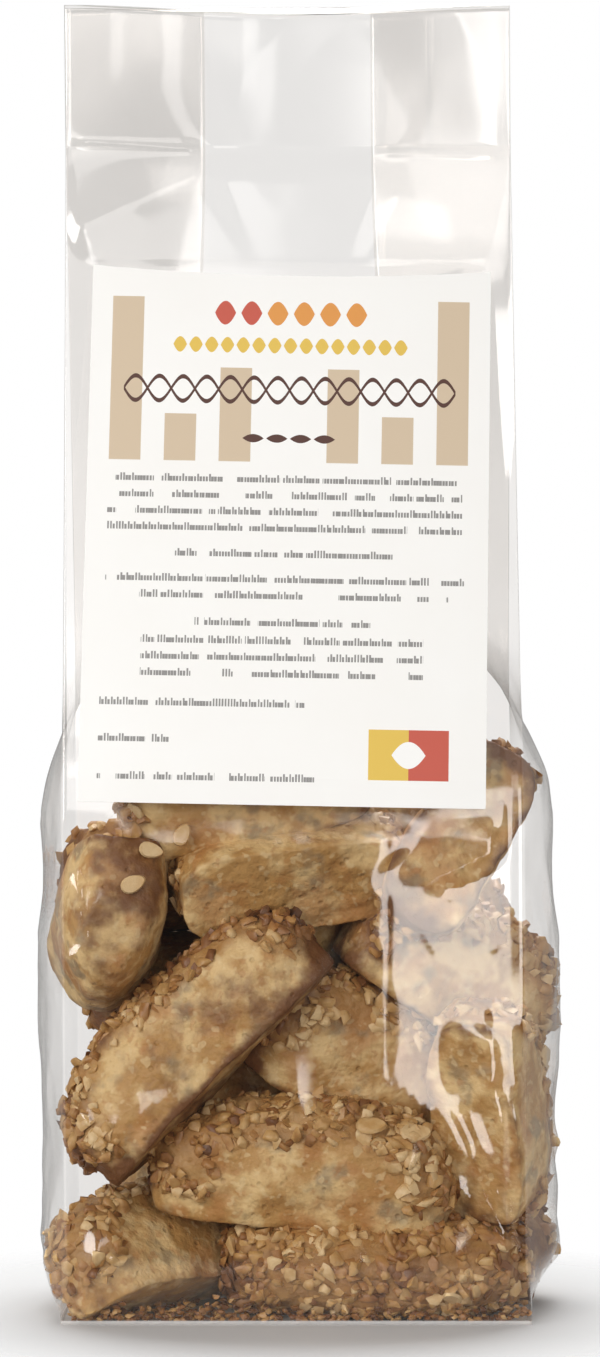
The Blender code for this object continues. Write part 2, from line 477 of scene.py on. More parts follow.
@dataclass
class CookiePile:
    """All the cookies in the bag, packed without crossing each other or the film."""

    cookies: list[Cookie]
    rounds: int = 140
    hold: float = 0.06
    push: float = 0.42
    film_gap: float = 0.6 * MM
    film_give: float = 0.8 * MM
    floor_gap: float = 0.9 * MM
    fullness: float = 0.75

    def settle(self) -> None:
        """Moves and turns the cookies a little until they neither cross nor press out of the bag."""
        parts = [cookie.spheres() for cookie in self.cookies]
        local = np.array([centres for centres, _ in parts])
        radius = np.array([radii for _, radii in parts])
        turns = np.array([np.array(cookie.turn) for cookie in self.cookies])
        places = np.array([np.array(cookie.centre) for cookie in self.cookies])
        count, balls = radius.shape
        owner = np.repeat(np.arange(count), balls)
        apart = owner[:, None] != owner[None, :]
        reach = radius.reshape(-1)[:, None] + radius.reshape(-1)[None, :]
        goal = np.einsum("nij,nkj->nki", turns, local) + places[:, None]
        for step in range(self.rounds):
            balls_now = np.einsum("nij,nkj->nki", turns, local) + places[:, None]
            flat = balls_now.reshape(-1, 3)
            between = flat[:, None] - flat[None, :]
            distance = np.linalg.norm(between, axis=2) + 1e-9
            overlap = np.where(apart, np.maximum(reach - distance, 0.0), 0.0)
            flat = flat + (between * (overlap / distance)[:, :, None]).sum(1) * self.push
            moved = self.keep_inside(flat, radius.reshape(-1)).reshape(balls_now.shape)
            moved += (goal - moved) * self.hold * (1 - step / self.rounds)
            middle = moved.mean(1)
            rest = local - local.mean(1)[:, None]
            u, _, vt = np.linalg.svd(np.einsum("nki,nkj->nij", moved - middle[:, None], rest))
            flip = np.ones((count, 3))
            flip[:, 2] = np.linalg.det(u @ vt)
            turns = (u * flip[:, None]) @ vt
            places = middle - np.einsum("nij,nj->ni", turns, local.mean(1))
        for cookie, turn, place in zip(self.cookies, turns, places):
            cookie.turn = Matrix(turn.tolist())
            cookie.centre = Vector(place)
        LOG.info("cookies settled, the most that two still cross is %.2f mm", overlap.max() / MM)

    def keep_inside(self, points: np.ndarray, radius: np.ndarray) -> np.ndarray:
        """Pushes balls back inside the film.

        Args:
            points: The balls' centres.
            radius: Their radii.

        Returns:
            The centres, moved where a ball would cross the film.
        """
        points = points.copy()
        z = np.maximum(points[:, 2], radius + self.floor_gap)
        depth = FORM.half_depth(z) + self.film_give - self.film_gap - radius
        points[:, 1] = np.clip(points[:, 1], -depth, depth)
        rounded = 1 - (points[:, 1] / FORM.half_depth(z)) ** 2
        full = self.fullness * FORM.roundness(z) * np.clip(rounded, 0, 1)
        wide, middle = FORM.half_width(z) - self.film_gap - radius, FORM.middle(z)
        points[:, 0] = np.maximum(points[:, 0], middle - wide - FORM.left_swell * full)
        points[:, 0] = np.minimum(points[:, 0], middle + wide + FORM.right_swell * full)
        points[:, 2] = z
        return points

    def build(self, finish: "CrustFinish") -> list[bpy.types.Object]:
        """Settles the cookies and makes their meshes.

        Args:
            finish: The crust's finish.

        Returns:
            The cookies.
        """
        self.settle()
        return [cookie.build(finish) for cookie in self.cookies]


def packed_cookies() -> list[Cookie]:
    """Lists the cookies: those that the photograph shows, and those behind them.

    Returns:
        The cookies with their places before they settle.
    """
    at = VIEW.place
    face, tipped, shoulder, arch = Side.FACE, Side.TIPPED, Side.SHOULDER, Side.ARCH
    # Place, roll, yaw, pitch, side, size, bake, taper and spill of the nuts over the faces
    shown = [
        (at(191, 1035, -15.5 * MM), 47, 0, 0, face, (60, 21.5, 20), 1.0, 0.3, 0.12),
        (at(314, 1154, -15 * MM), -2, 0, 2, face, (57, 22, 20), -0.1, 0.3, 0.16),
        (at(378, 1269, -14.5 * MM), -2, 0, 0, arch, (56, 24, 20), 0.5, 0.25, 0.3),
        (at(150, 1256, -5 * MM), 3, 36, 0, face, (52, 22, 19), -0.1, 0.3, 0.12),
        (at(114, 937, -5 * MM), 176, 84, 0, face, (42, 27, 20), 0.5, 0.5, -0.45),
        (at(298, 862, -14 * MM), 2, 2, 0, tipped, (43, 20, 19), -0.3, 0.25, 0.04),
        (at(247, 800, -14.5 * MM), 189, 0, 0, face, (47, 22, 20), 0.2, 0.3, -0.05),
        (at(468, 846, -17 * MM), 25, 0, 0, face, (39, 14, 18), 0.55, 0.3, 0.06),
        (at(470, 966, -3 * MM), -22, 24, 0, face, (46, 24, 20), 0.5, 0.3, 0.14),
        (at(386, 1030, -6 * MM), -42, 0, 0, face, (46, 26, 20), 0.6, 0.3, 0.1),
        (at(497, 1110, -13 * MM), -62, 12, 0, face, (40, 22, 19), 0.15, 0.3, 0.1),
        (at(440, 1228, 14 * MM), 2, -10, 0, face, (52, 24, 20), 0.7, 0.3, 0.1),
    ]
    behind = [
        ((-8, 15, 36), 8, 0, 0, face, (58, 27, 21), 0.6, 0.3, 0.05),
        ((26, 14, 46), -40, 0, 0, face, (50, 24, 20), 0.6, 0.3, 0.05),
        ((-9, 14, 61), -18, 0, 0, face, (50, 30, 20), 0.9, 0.3, 0.1),
        ((12, 14, 70), -12, 0, 0, face, (56, 24, 20), 0.6, 0.3, 0.05),
        ((-17, 15, 81), 6, 0, 0, shoulder, (52, 28, 20), 0.9, 0.3, 0.1),
        ((4, 12, 97), -4, 0, 0, face, (46, 22, 18), 0.6, 0.3, 0.1),
    ]
    rows = shown + [(Vector(place) * MM, *rest) for place, *rest in behind]
    return [
        Cookie(f"cookie_{i + 1:02d}", place, roll, yaw, pitch, side, size, bake, taper, spill, seed=i + 3)
        for i, (place, roll, yaw, pitch, side, size, bake, taper, spill) in enumerate(rows)
    ]


@dataclass
class Scatter:
    """A joined mesh of many small things, each a copy of one of a few shapes."""

    shapes: list[tuple[np.ndarray, np.ndarray]]
    points: list[np.ndarray] = field(default_factory=list)
    faces: list[np.ndarray] = field(default_factory=list)
    values: list[np.ndarray] = field(default_factory=list)
    total: int = 0
    crisp_angle: float = math.radians(58)

    def add(self, kind: np.ndarray, place: np.ndarray, axes: np.ndarray, value: np.ndarray) -> None:
        """Adds copies.

        Args:
            kind: Which shape each copy takes.
            place: Where each copy's middle goes.
            axes: Each copy's three axes as rows, scaled by its half sizes.
            value: One number for each copy, which its material reads.
        """
        for number, (shape, triangles) in enumerate(self.shapes):
            chosen = kind == number
            copies = int(chosen.sum())
            if not copies:
                continue
            put = np.einsum("ki,nij->nkj", shape, axes[chosen]) + place[chosen][:, None]
            step = len(shape) * np.arange(copies)[:, None, None]
            self.points.append(put.reshape(-1, 3))
            self.faces.append((triangles[None] + step + self.total).reshape(-1, 3))
            self.values.append(np.repeat(value[chosen], len(shape)))
            self.total += copies * len(shape)

    def build(self, name: str, attribute: str, material: bpy.types.Material) -> bpy.types.Object:
        """Joins the copies into one piece.

        Args:
            name: The piece's name.
            attribute: The name under which the material reads each copy's number.
            material: The material.

        Returns:
            The piece.
        """
        points, faces = np.concatenate(self.points), np.concatenate(self.faces)
        mesh = bpy.data.meshes.new(name)
        mesh.from_pydata(points.tolist(), [], faces.tolist())
        mesh.shade_smooth()
        mesh.set_sharp_from_angle(angle=self.crisp_angle)
        set_values(mesh, attribute, np.concatenate(self.values))
        return add_piece(name, mesh, material)


def shape_arrays(bm: bmesh.types.BMesh) -> tuple[np.ndarray, np.ndarray]:
    """Reads a small closed shape out of a bmesh and frees it.

    Args:
        bm: The shape.

    Returns:
        Its points and its triangles.
    """
    bmesh.ops.recalc_face_normals(bm, faces=bm.faces)
    bmesh.ops.triangulate(bm, faces=bm.faces)
    bm.verts.index_update()
    points = np.array([vert.co[:] for vert in bm.verts])
    triangles = np.array([[vert.index for vert in face.verts] for face in bm.faces])
    bm.free()
    return points, triangles


@dataclass
class ChoppedAlmonds:
    """The chopped almonds that coat the arches of the cookies, and the crumbs that fell to the base."""

    front_spacing: float = 1.8 * MM
    back_spacing: float = 3.1 * MM
    hidden_share: float = 0.4
    kinds: int = 9
    corners: int = 12
    stretch: Pair = (0.8, 1.15)
    seed: int = 11
    length: Pair = (1.0, 2.7)
    width: Pair = (0.9, 2.0)
    thickness: Pair = (0.75, 1.6)
    sunk_to_proud: Pair = (-0.8, 0.5)
    least_height: float = 1.7 * MM
    crumbs: int = 800
    crumb_size: float = 0.55
    crumb_toast: Pair = (0.2, 0.85)
    crumb_reach: Pair = (0.975, 0.96)

    def shapes(self) -> list[tuple[np.ndarray, np.ndarray]]:
        """Makes the few broken almond chips that all the pieces are copies of.

        Returns:
            Points and triangles of each shape.
        """
        draw = np.random.RandomState(self.seed + 1)
        made = []
        for _ in range(self.kinds):
            bm = bmesh.new()
            bmesh.ops.create_icosphere(bm, subdivisions=2, radius=1.0)
            kept = set(draw.choice(len(bm.verts), self.corners, replace=False))
            extra = [vert for vert in bm.verts if vert.index not in kept]
            bmesh.ops.delete(bm, geom=extra, context="VERTS")
            for vert in bm.verts:
                vert.co *= draw.uniform(*self.stretch)
            hull = bmesh.ops.convex_hull(bm, input=bm.verts)
            bmesh.ops.delete(bm, geom=hull["geom_interior"], context="VERTS")
            made.append(shape_arrays(bm))
        return made

    def axes(self, draw: np.random.RandomState, normal: np.ndarray, lean: float) -> np.ndarray:
        """Turns each piece to lie on its surface, at random round the normal.

        Args:
            draw: The source of random numbers.
            normal: Each piece's surface normal.
            lean: How far, at most, a piece leans off the surface, as a share of the normal.

        Returns:
            The pieces' axes as rows, scaled by their half sizes.
        """
        count = len(normal)
        up = unit(normal + draw.uniform(-lean, lean, (count, 3)))
        along = unit(np.cross(up, draw.normal(size=(count, 3))))
        share = draw.beta(1.6, 2.4, (count, 3))
        spans = np.array([self.length, self.width, self.thickness])
        sizes = spans[:, 0] + (spans[:, 1] - spans[:, 0]) * share
        return np.stack([along, np.cross(up, along), up], 1) * (sizes * MM)[:, :, None]

    def build(self, cookies: list[bpy.types.Object], finish: "NibFinish") -> list[bpy.types.Object]:
        """Coats the cookies and strews the crumbs.

        Args:
            cookies: The cookies.
            finish: The almonds' finish.

        Returns:
            The coat and the crumbs.
        """
        draw = np.random.RandomState(self.seed)
        shapes = self.shapes()
        coat = Scatter(shapes)
        for cookie in cookies:
            spacing = self.front_spacing if points_of(cookie.data)[:, 1].mean() < 0 else self.back_spacing
            place, normal, browning = coat_places(cookie.data, draw, spacing, "nut_coat", 0.3)
            kept = (normal[:, 1] < 0.3) | (draw.uniform(size=len(place)) < self.hidden_share)
            place, normal, browning = place[kept], normal[kept], browning[kept]
            axes = self.axes(draw, normal, 0.6)
            rise = draw.uniform(*self.sunk_to_proud, len(place))
            place = place + normal * (rise * np.linalg.norm(axes[:, 2], axis=1))[:, None]
            place[:, 2] = np.maximum(place[:, 2], self.least_height)
            limit = contents_depth(place[:, 2]) + 0.9 * MM
            place[:, 1] = np.clip(place[:, 1], -limit, limit)
            drift = np.array([noise.noise(Vector(spot) * 75) for spot in place])
            # Sunk chips are made darker as painted shade for the crevices between them; the rest is the
            # almonds' own toast
            toast_and_shade = 0.18 - 0.16 * rise + 0.45 * browning + 0.3 * drift + draw.normal(0, 0.14, len(place))
            coat.add(draw.randint(0, self.kinds, len(place)), place, axes, toast_and_shade)
        coated = coat.build("chopped_almonds", "toast_and_shade", finish.material())
        return [coated, self.strew(draw, shapes, finish)]

    def strew(
        self, draw: np.random.RandomState, shapes: list[tuple[np.ndarray, np.ndarray]], finish: "NibFinish"
    ) -> bpy.types.Object:
        """Strews crumbs over the base of the bag, most of them along the front.

        Args:
            draw: The source of random numbers.
            shapes: Points and triangles of each chip.
            finish: The almonds' finish.

        Returns:
            The crumbs.
        """
        crumbs = Scatter(shapes)
        wide, deep = self.crumb_reach
        x = draw.uniform(-FORM.base_width / 2, FORM.base_width / 2, self.crumbs) * wide
        y = FORM.base_half_depth * (2 * draw.beta(0.4, 1.2, self.crumbs) - 1) * deep
        height = 0.7 * MM + draw.exponential(0.8, self.crumbs) * MM
        place = np.stack([x, y, height], 1)
        axes = self.axes(draw, np.tile((0.0, 0.0, 1.0), (self.crumbs, 1)), 0.4) * self.crumb_size
        toast_and_shade = draw.uniform(*self.crumb_toast, self.crumbs)
        crumbs.add(draw.randint(0, self.kinds, self.crumbs), place, axes, toast_and_shade)
        return crumbs.build("crumbs", "toast_and_shade", finish.material())


def coat_places(
    mesh: bpy.types.Mesh, draw: np.random.RandomState, spacing: float, zone: str, least: float
) -> tuple[np.ndarray, np.ndarray, np.ndarray]:
    """Draws places on the part of a cookie that a zone marks, evenly by area.

    Args:
        mesh: The cookie's mesh, all triangles.
        draw: The source of random numbers.
        spacing: The mean distance between two places.
        zone: The name of the attribute that marks the zone.
        least: The least value at which a face belongs to it.

    Returns:
        The places, their normals and the cookie's browning there.
    """
    points, triangles = points_of(mesh), triangles_of(mesh)
    values = {}
    for name in (zone, "browning"):
        flat = np.empty(len(points), np.float32)
        mesh.attributes[name].data.foreach_get("value", flat)
        values[name] = flat[triangles].mean(1)
    a, b, c = (points[triangles[:, i]] for i in range(3))
    normal = np.cross(b - a, c - a)
    area = np.linalg.norm(normal, axis=1)
    weight = np.where(values[zone] > least, area, 0.0)
    count = int(weight.sum() / 2 / spacing**2)
    weight = weight if count else area
    chosen = draw.choice(len(triangles), count, p=weight / weight.sum())
    u, v = draw.uniform(size=count), draw.uniform(size=count)
    over = u + v > 1
    u, v = np.where(over, 1 - u, u)[:, None], np.where(over, 1 - v, v)[:, None]
    place = a[chosen] + (b - a)[chosen] * u + (c - a)[chosen] * v
    return place, normal[chosen] / area[chosen][:, None], values["browning"][chosen]


@dataclass
class AlmondFlakes:
    """Sliced almonds that lie here and there on the cookies."""

    spacing: float = 38 * MM
    seed: int = 5
    half_length: float = 3.0 * MM
    half_width: float = 1.95 * MM
    half_thickness: float = 0.3 * MM
    lift: float = 1.1 * MM
    size_range: Pair = (0.75, 1.05)
    toast_range: Pair = (0.02, 0.25)
    shown: tuple[Triple, ...] = (
        (182, 834, 62.0),
        (150, 851, -12.0),
        (133, 884, 25.0),
        (414, 1136, 18.0),
        (92, 1172, -40.0),
    )

    def shape(self) -> tuple[np.ndarray, np.ndarray]:
        """Makes one flake: a thin slice with the outline of an almond.

        Returns:
            Its points and triangles.
        """
        bm = bmesh.new()
        disc = bmesh.ops.create_circle(bm, cap_ends=True, segments=16, radius=1.0)["verts"]
        for vert in disc:
            vert.co.y *= 1 - 0.22 * vert.co.x
        face = bmesh.ops.extrude_face_region(bm, geom=bm.faces[:])["geom"]
        raised = [part for part in face if isinstance(part, bmesh.types.BMVert)]
        bmesh.ops.translate(bm, verts=raised, vec=(0, 0, 2.0))
        bmesh.ops.scale(bm, verts=raised, vec=(0.9, 0.86, 1.0))
        for vert in bm.verts:
            vert.co.z += 0.9 * vert.co.x**2 - 1.0
        return shape_arrays(bm)

    def under_pixels(self, cookies: list[bpy.types.Object]) -> list[tuple[Vector, Vector, float]]:
        """Finds where the flakes that the photograph shows lie on the cookies.

        Args:
            cookies: The cookies.

        Returns:
            Each flake's place, the cookie's normal there and the flake's turn in degrees.
        """
        points, triangles, total = [], [], 0
        for cookie in cookies:
            points.append(points_of(cookie.data))
            triangles.append(triangles_of(cookie.data) + total)
            total += len(points[-1])
        tree = BVHTree.FromPolygons(np.concatenate(points).tolist(), np.concatenate(triangles).tolist())
        eye = bpy.context.scene.camera.location
        found = []
        for column, row, turn in self.shown:
            sight = (VIEW.place(column, row, 0.0) - eye).normalized()
            place, normal, _, _ = tree.ray_cast(eye, sight)
            if place is not None:
                found.append((place, normal, turn))
        return found

    def build(self, cookies: list[bpy.types.Object], finish: "NibFinish") -> bpy.types.Object:
        """Lays the flakes on the cookies.

        Args:
            cookies: The cookies.
            finish: The almonds' finish.

        Returns:
            The flakes.
        """
        draw = np.random.RandomState(self.seed)
        flakes = Scatter([self.shape()])
        places, normals, alongs = [], [], []
        for place, normal, turn in self.under_pixels(cookies):
            angle = math.radians(turn)
            level = Vector((math.cos(angle), 0.0, math.sin(angle)))
            places.append(place)
            normals.append((normal * 0.7 + Vector((0.0, -0.7, 0.1))).normalized())
            alongs.append(level)
        for cookie in cookies:
            place, normal, _ = coat_places(cookie.data, draw, self.spacing, "nut_coat", 0.5)
            places.extend(place)
            normals.extend(normal)
            alongs.extend(draw.normal(size=normal.shape))
        place, up, level = np.array(places), np.array(normals), np.array(alongs)
        side = unit(np.cross(up, level))
        along = np.cross(side, up)
        size = draw.uniform(*self.size_range, len(place))[:, None]
        axes = np.stack([along * self.half_length * size, side * self.half_width * size], 1)
        axes = np.concatenate([axes, up[:, None] * self.half_thickness], 1)
        toast_and_shade = draw.uniform(*self.toast_range, len(place))
        flakes.add(np.zeros(len(place), int), place + up * self.lift, axes, toast_and_shade)
        return flakes.build("almond_flakes", "toast_and_shade", finish.material())


@dataclass(frozen=True)
class Crease:
    """A sharp fold line in the film, from one point of a panel to another, in mm across and up."""

    start: Pair
    end: Pair
    rise: float
    width: float = 1.6

    def relief(self, x: np.ndarray, z: np.ndarray) -> np.ndarray:
        """Says how far the crease lifts the film.

        Args:
            x: Places across the panel, in metres.
            z: Heights, in metres.

        Returns:
            The lift in metres, a ridge with a sharp top that dies out at both ends.
        """
        start, end = np.array(self.start) * MM, np.array(self.end) * MM
        run = end - start
        length = float(np.hypot(*run))
        along = ((x - start[0]) * run[0] + (z - start[1]) * run[1]) / length
        aside = ((x - start[0]) * run[1] - (z - start[1]) * run[0]) / length
        inside = smooth(-2 * MM, 3 * MM, along) * smooth(-2 * MM, 3 * MM, length - along)
        return self.rise * MM * np.exp(-np.abs(aside) / (self.width * MM)) * inside


@dataclass(frozen=True)
class Press:
    """An oval of the front panel that a cookie presses flat, in mm across and up."""

    centre: Pair
    half_size: Pair
    turn: float
    rise: float

    def share(self, x: np.ndarray, z: np.ndarray) -> np.ndarray:
        """Says where the film is pressed flat.

        Args:
            x: Places across the panel, in metres.
            z: Heights, in metres.

        Returns:
            1 inside the oval, 0 outside, with a soft border.
        """
        c, s = math.cos(math.radians(self.turn)), math.sin(math.radians(self.turn))
        across, up = x / MM - self.centre[0], z / MM - self.centre[1]
        along = (across * c + up * s) / self.half_size[0]
        aside = (up * c - across * s) / self.half_size[1]
        return 1 - smooth(0.8, 1.2, np.hypot(along, aside))


@dataclass
class Film:
    """The clear film of the bag: one closed skin that stands round the cookies and folds in above them."""

    panel_steps: int = 160
    gusset_steps: int = 58
    rows: int = 228
    seal_zone: float = 4.5 * MM
    seal_rows: int = 26
    crease_half_width: float = 0.45 * MM
    fold_line: float = 17.5 * MM
    low_fold_line: float = 31 * MM
    fold_change: Pair = (37 * MM, 47 * MM)
    panel_rise: float = 2.3 * MM
    slack_rise: float = 0.55 * MM
    slack_span: Pair = (96 * MM, 140 * MM)
    wander: Pair = (34.0, 0.6 * MM)
    crinkle: Pair = (95.0, 0.28 * MM)
    gusset_wander: Pair = (60.0, 1.3 * MM)
    gusset_crinkle: Pair = (140.0, 0.4 * MM)
    seam: Pair = (16.0 * MM, 25.0 * MM)
    seam_step: float = 0.6 * MM
    seam_rise: float = 0.3 * MM
    label_margin: float = 3 * MM
    label_drop: float = 8 * MM
    label_rise: Pair = (1.2 * MM, 0.45 * MM)
    label_span: Pair = (86 * MM, 150 * MM)
    contact_gap: float = 0.3 * MM
    contact_rounds: int = 260
    contact_pull: float = 0.02
    base_rings: int = 7
    base_rise: float = 0.35 * MM
    corner_share: float = 0.62
    clear_strip: float = 3.0 * MM
    dip_span: Pair = (235 * MM, 250 * MM)
    flap_span: Pair = (217 * MM, 238 * MM)
    flap_taps: tuple[float, ...] = (-2.0, -0.7, 0.7, 2.0)
    flap_across: tuple[float, ...] = (-43.0, -36.2, -29.5, -25.3, -18.9, -10.5, -3.7, 32.4, 43.0)
    flap_rise: tuple[float, ...] = (0.9, 0.87, 0.43, 0.42, 0.12, 0.3, 0.0, 0.2, 0.03)
    presses: tuple[Press, ...] = (
        Press((30.8, 89.4), (16.0, 5.2), 24.0, 1.8),
        Press((36.5, 41.0), (17.0, 7.5), -62.0, 1.5),
    )
    creases: tuple[Crease, ...] = (
        Crease((-43.0, 223.8), (-18.0, 222.4), 0.55, 0.8),
        Crease((15.5, 221.6), (40.5, 221.2), 0.55, 0.8),
        Crease((-41.5, 84.0), (-39.5, 71.0), 0.55, 0.9),
        Crease((-39.5, 71.0), (-44.0, 66.5), 0.5, 0.9),
        Crease((-39.5, 71.0), (-36.0, 70.0), 0.4, 0.8),
        Crease((42.5, 10.0), (30.5, 26.0), 0.55, 0.8),
        Crease((36.5, 27.0), (43.5, 4.0), 0.6, 0.8),
        Crease((36.5, 27.0), (31.0, 41.0), 0.35, 1.2),
        Crease((31.0, 41.0), (27.0, 42.5), 0.45, 1.0),
        Crease((32.0, 41.0), (37.5, 48.0), 0.45, 1.0),
        Crease((-24.0, 4.0), (-14.5, 7.5), 0.4, 0.8),
        Crease((-14.5, 7.5), (-13.0, 12.5), 0.35, 0.7),
        Crease((-43.0, 3.0), (-37.5, 8.0), 0.45, 0.9),
        Crease((-40.0, 40.0), (-36.5, 30.0), 0.4, 1.0),
        Crease((-27.0, 30.5), (-23.0, 32.0), 0.35, 0.6),
        Crease((22.0, 76.0), (26.0, 69.0), 0.16, 0.8),
        Crease((24.5, 82.0), (30.0, 79.5), 0.2, 0.7),
        Crease((35.0, 70.0), (41.0, 73.5), 0.2, 0.7),
        Crease((-17.0, 218.5), (-43.5, 206.0), 0.9, 6.0),
        Crease((16.5, 214.0), (40.5, 203.5), 0.8, 6.0),
    )

    def shares(self) -> tuple[np.ndarray, np.ndarray]:
        """Divides a panel and a gusset from crease to crease, with a narrow strip along each crease.

        Returns:
            The shares across a panel and across a gusset, both without their last one.
        """
        strip = self.crease_half_width / FORM.panel_width
        panel = np.concatenate([[0.0], np.linspace(strip, 1 - strip, self.panel_steps)])
        strip = self.crease_half_width / FORM.gusset_width
        gusset = np.concatenate([[0.0], np.linspace(strip, 1 - strip, self.gusset_steps)])
        return panel, gusset

    def ripple(self, x: np.ndarray, z: np.ndarray, scale: float, seed: float) -> np.ndarray:
        """Works out a noise field over the film, -1 to 1, whose zero lines wander like soft creases.

        Args:
            x: Places across the film, in metres.
            z: Heights, in metres.
            scale: How many bumps there are in a metre.
            seed: Which field.

        Returns:
            The field, of the same shape as x.
        """
        flat = [
            noise.noise(Vector((a * scale, seed, b * scale * 0.7))) for a, b in zip(x.ravel(), z.ravel())
        ]
        return np.array(flat).reshape(x.shape)

    def panel_relief(self, x: np.ndarray, z: np.ndarray, side: int) -> np.ndarray:
        """Gives a panel its own form between its creases.

        Args:
            x: Places across, from the middle of the panel, in metres.
            z: Heights, in metres.
            side: -1 for the front panel, 1 for the back.

        Returns:
            How far the film stands out of the plane of the creases.
        """
        half = FORM.half_width(z) - self.clear_strip * (x > 0) * (side < 0)
        fold = mix(self.low_fold_line, self.fold_line, smooth(*self.fold_change, z))
        slope = np.clip((half - np.abs(x)) / (half - fold), 0, None)
        facet = slope - np.maximum(slope - 1, 0) - 0.06 * np.exp(-np.abs(slope - 1) / 0.05)
        slack = smooth(*self.slack_span, z)
        rise = mix(self.panel_rise, self.slack_rise, slack) * smooth(0, 12 * MM, z)
        rise = rise * smooth(-1 * MM, 8 * MM, FORM.seal_height - z)
        relief = facet * rise
        edge = np.clip(slope * 2.2, 0, 1)
        wander = self.ripple(x, z, self.wander[0], side * 4.0 + 1)
        fine = self.ripple(x, z, self.crinkle[0], side * 7.0 + 3)
        relief = relief + edge * (self.wander[1] * (0.35 - np.abs(wander)) * mix(0.9, 0.7, slack))
        relief = relief - edge * self.crinkle[1] * np.abs(fine) * (1 - slack)
        world = x + FORM.middle(z)
        if side < 0:
            for press in self.presses:
                relief = mix(relief, press.rise * MM * np.clip(slope * 7, 0, 1), press.share(world, z))
            for crease in self.creases:
                relief = relief + crease.relief(world, z) * np.clip(slope * 12, 0.15, 1)
            relief = relief + self.flap(x) * smooth(*self.flap_span, z)
        else:
            left, right = (smooth(edge, edge + self.seam_step, world) for edge in self.seam)
            relief = relief + self.seam_rise * left * (1 - right)
        return np.maximum(relief, 0.05 * MM * np.clip(slope * 8, 0, 1))

    def flap(self, x: np.ndarray) -> np.ndarray:
        """Gives the free top edge of the front panel its soft upright folds.

        Args:
            x: Places across, from the middle of the panel, in metres.

        Returns:
            How far the top edge stands out.
        """
        taps = [np.interp(x / MM + shift, self.flap_across, self.flap_rise) for shift in self.flap_taps]
        return np.mean(taps, axis=0) * MM

    def under_label(self, x: np.ndarray, z: np.ndarray) -> np.ndarray:
        """Says where the film lies under the label.

        Args:
            x: Places across, in the frame.
            z: Heights.

        Returns:
            1 under the label, 0 away from it.
        """
        low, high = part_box("label")
        across = smooth(low.x - self.label_margin, low.x, x)
        across = across * smooth(-high.x - self.label_margin, -high.x, -x)
        return across * smooth(low.z - self.label_drop, low.z, z) * smooth(-high.z - 1 * MM, -high.z, -z)

    def label_ground(self, x: np.ndarray, z: np.ndarray) -> np.ndarray:
        """Works out the smooth relief on which the label lies.

        Args:
            x: Places across, from the middle of the panel.
            z: Heights.

        Returns:
            The relief of the front panel there.
        """
        edge = 1 - (x / FORM.half_width(z)) ** 4
        return edge * mix(*self.label_rise, smooth(*self.label_span, z)) - 0.05 * MM

    def pressed_out(self, relief: np.ndarray, needed: np.ndarray) -> np.ndarray:
        """Stretches the film over whatever presses against it from inside.

        Args:
            relief: The film's own relief.
            needed: The relief that clears what lies behind each point.

        Returns:
            The relief, lifted softly round each contact.
        """
        least = needed - relief
        lift = np.maximum(least, 0.0)
        for _ in range(self.contact_rounds):
            around = lift.copy()
            around[1:-1, 1:-1] = (lift[:-2, 1:-1] + lift[2:, 1:-1] + lift[1:-1, :-2] + lift[1:-1, 2:]) / 4
            lift = np.maximum(least, around * (1 - self.contact_pull))
            lift[:, 0] = lift[:, -1] = 0.0
            lift[0] = 0.0
            lift = np.maximum(lift, 0.0)
        for _ in range(3):
            lift[1:-1, 1:-1] = (
                lift[1:-1, 1:-1] * 2 + lift[:-2, 1:-1] + lift[2:, 1:-1] + lift[1:-1, :-2] + lift[1:-1, 2:]
            ) / 6
        return relief + lift

    def contacts(
        self, contents: np.ndarray, across: np.ndarray, levels: np.ndarray, axis: int, side: int
    ) -> np.ndarray:
        """Finds how far the contents reach towards one face of the bag.

        Args:
            contents: The points of all that lies in the bag.
            across: Places across the face, one for each column of the film, at mid height.
            levels: The heights of the film's rows.
            axis: 1 for the front and back, 0 for the sides.
            side: -1 for the front or the left, 1 for the back or the right.

        Returns:
            The furthest reach for each row and column, far inside where nothing lies.
        """
        row = np.rint(np.interp(contents[:, 2], levels, np.arange(len(levels)))).astype(int)
        order = np.argsort(across)
        column = np.interp(contents[:, 1 - axis], across[order], order.astype(float))
        reach = np.full((len(levels), len(across)), -1.0)
        np.maximum.at(reach, (row, np.rint(column).astype(int)), contents[:, axis] * side)
        return reach

    def build(self, contents: np.ndarray, finish: "FilmFinish") -> bpy.types.Object:
        """Makes the film round the contents.

        Args:
            contents: The points of all that lies in the bag.
            finish: The film's finish.

        Returns:
            The film.
        """
        panel, gusset = self.shares()
        low, high = FORM.seal_height - self.seal_zone, FORM.seal_height + self.seal_zone
        share = low / (FORM.height - 2 * self.seal_zone)
        below, above = round(self.rows * share), round(self.rows * (1 - share))
        levels = np.concatenate([
            np.linspace(0, low, below, endpoint=False),
            np.linspace(low, high, self.seal_rows, endpoint=False),
            np.linspace(high, FORM.height, above + 1),
        ])
        front = self.panel_points(panel, levels, contents, -1)
        back = self.panel_points(panel, levels, contents, 1)
        right = self.gusset_points(gusset, levels, contents, 1)
        left = self.gusset_points(gusset, levels, contents, -1)
        rings = np.concatenate([front, right, back[:, ::-1], left[:, ::-1]], axis=1)
        rings = self.close_corners(rings, len(panel), len(gusset))
        dip = FORM.top_dip * smooth(*self.dip_span, rings[:, :, 2])
        rings[:, :, 2] -= dip * np.cos(rings[:, :, 0] / FORM.panel_width * math.pi) ** 2
        rings = np.concatenate([self.base(rings[0]), rings])
        return self.skin(rings, finish)

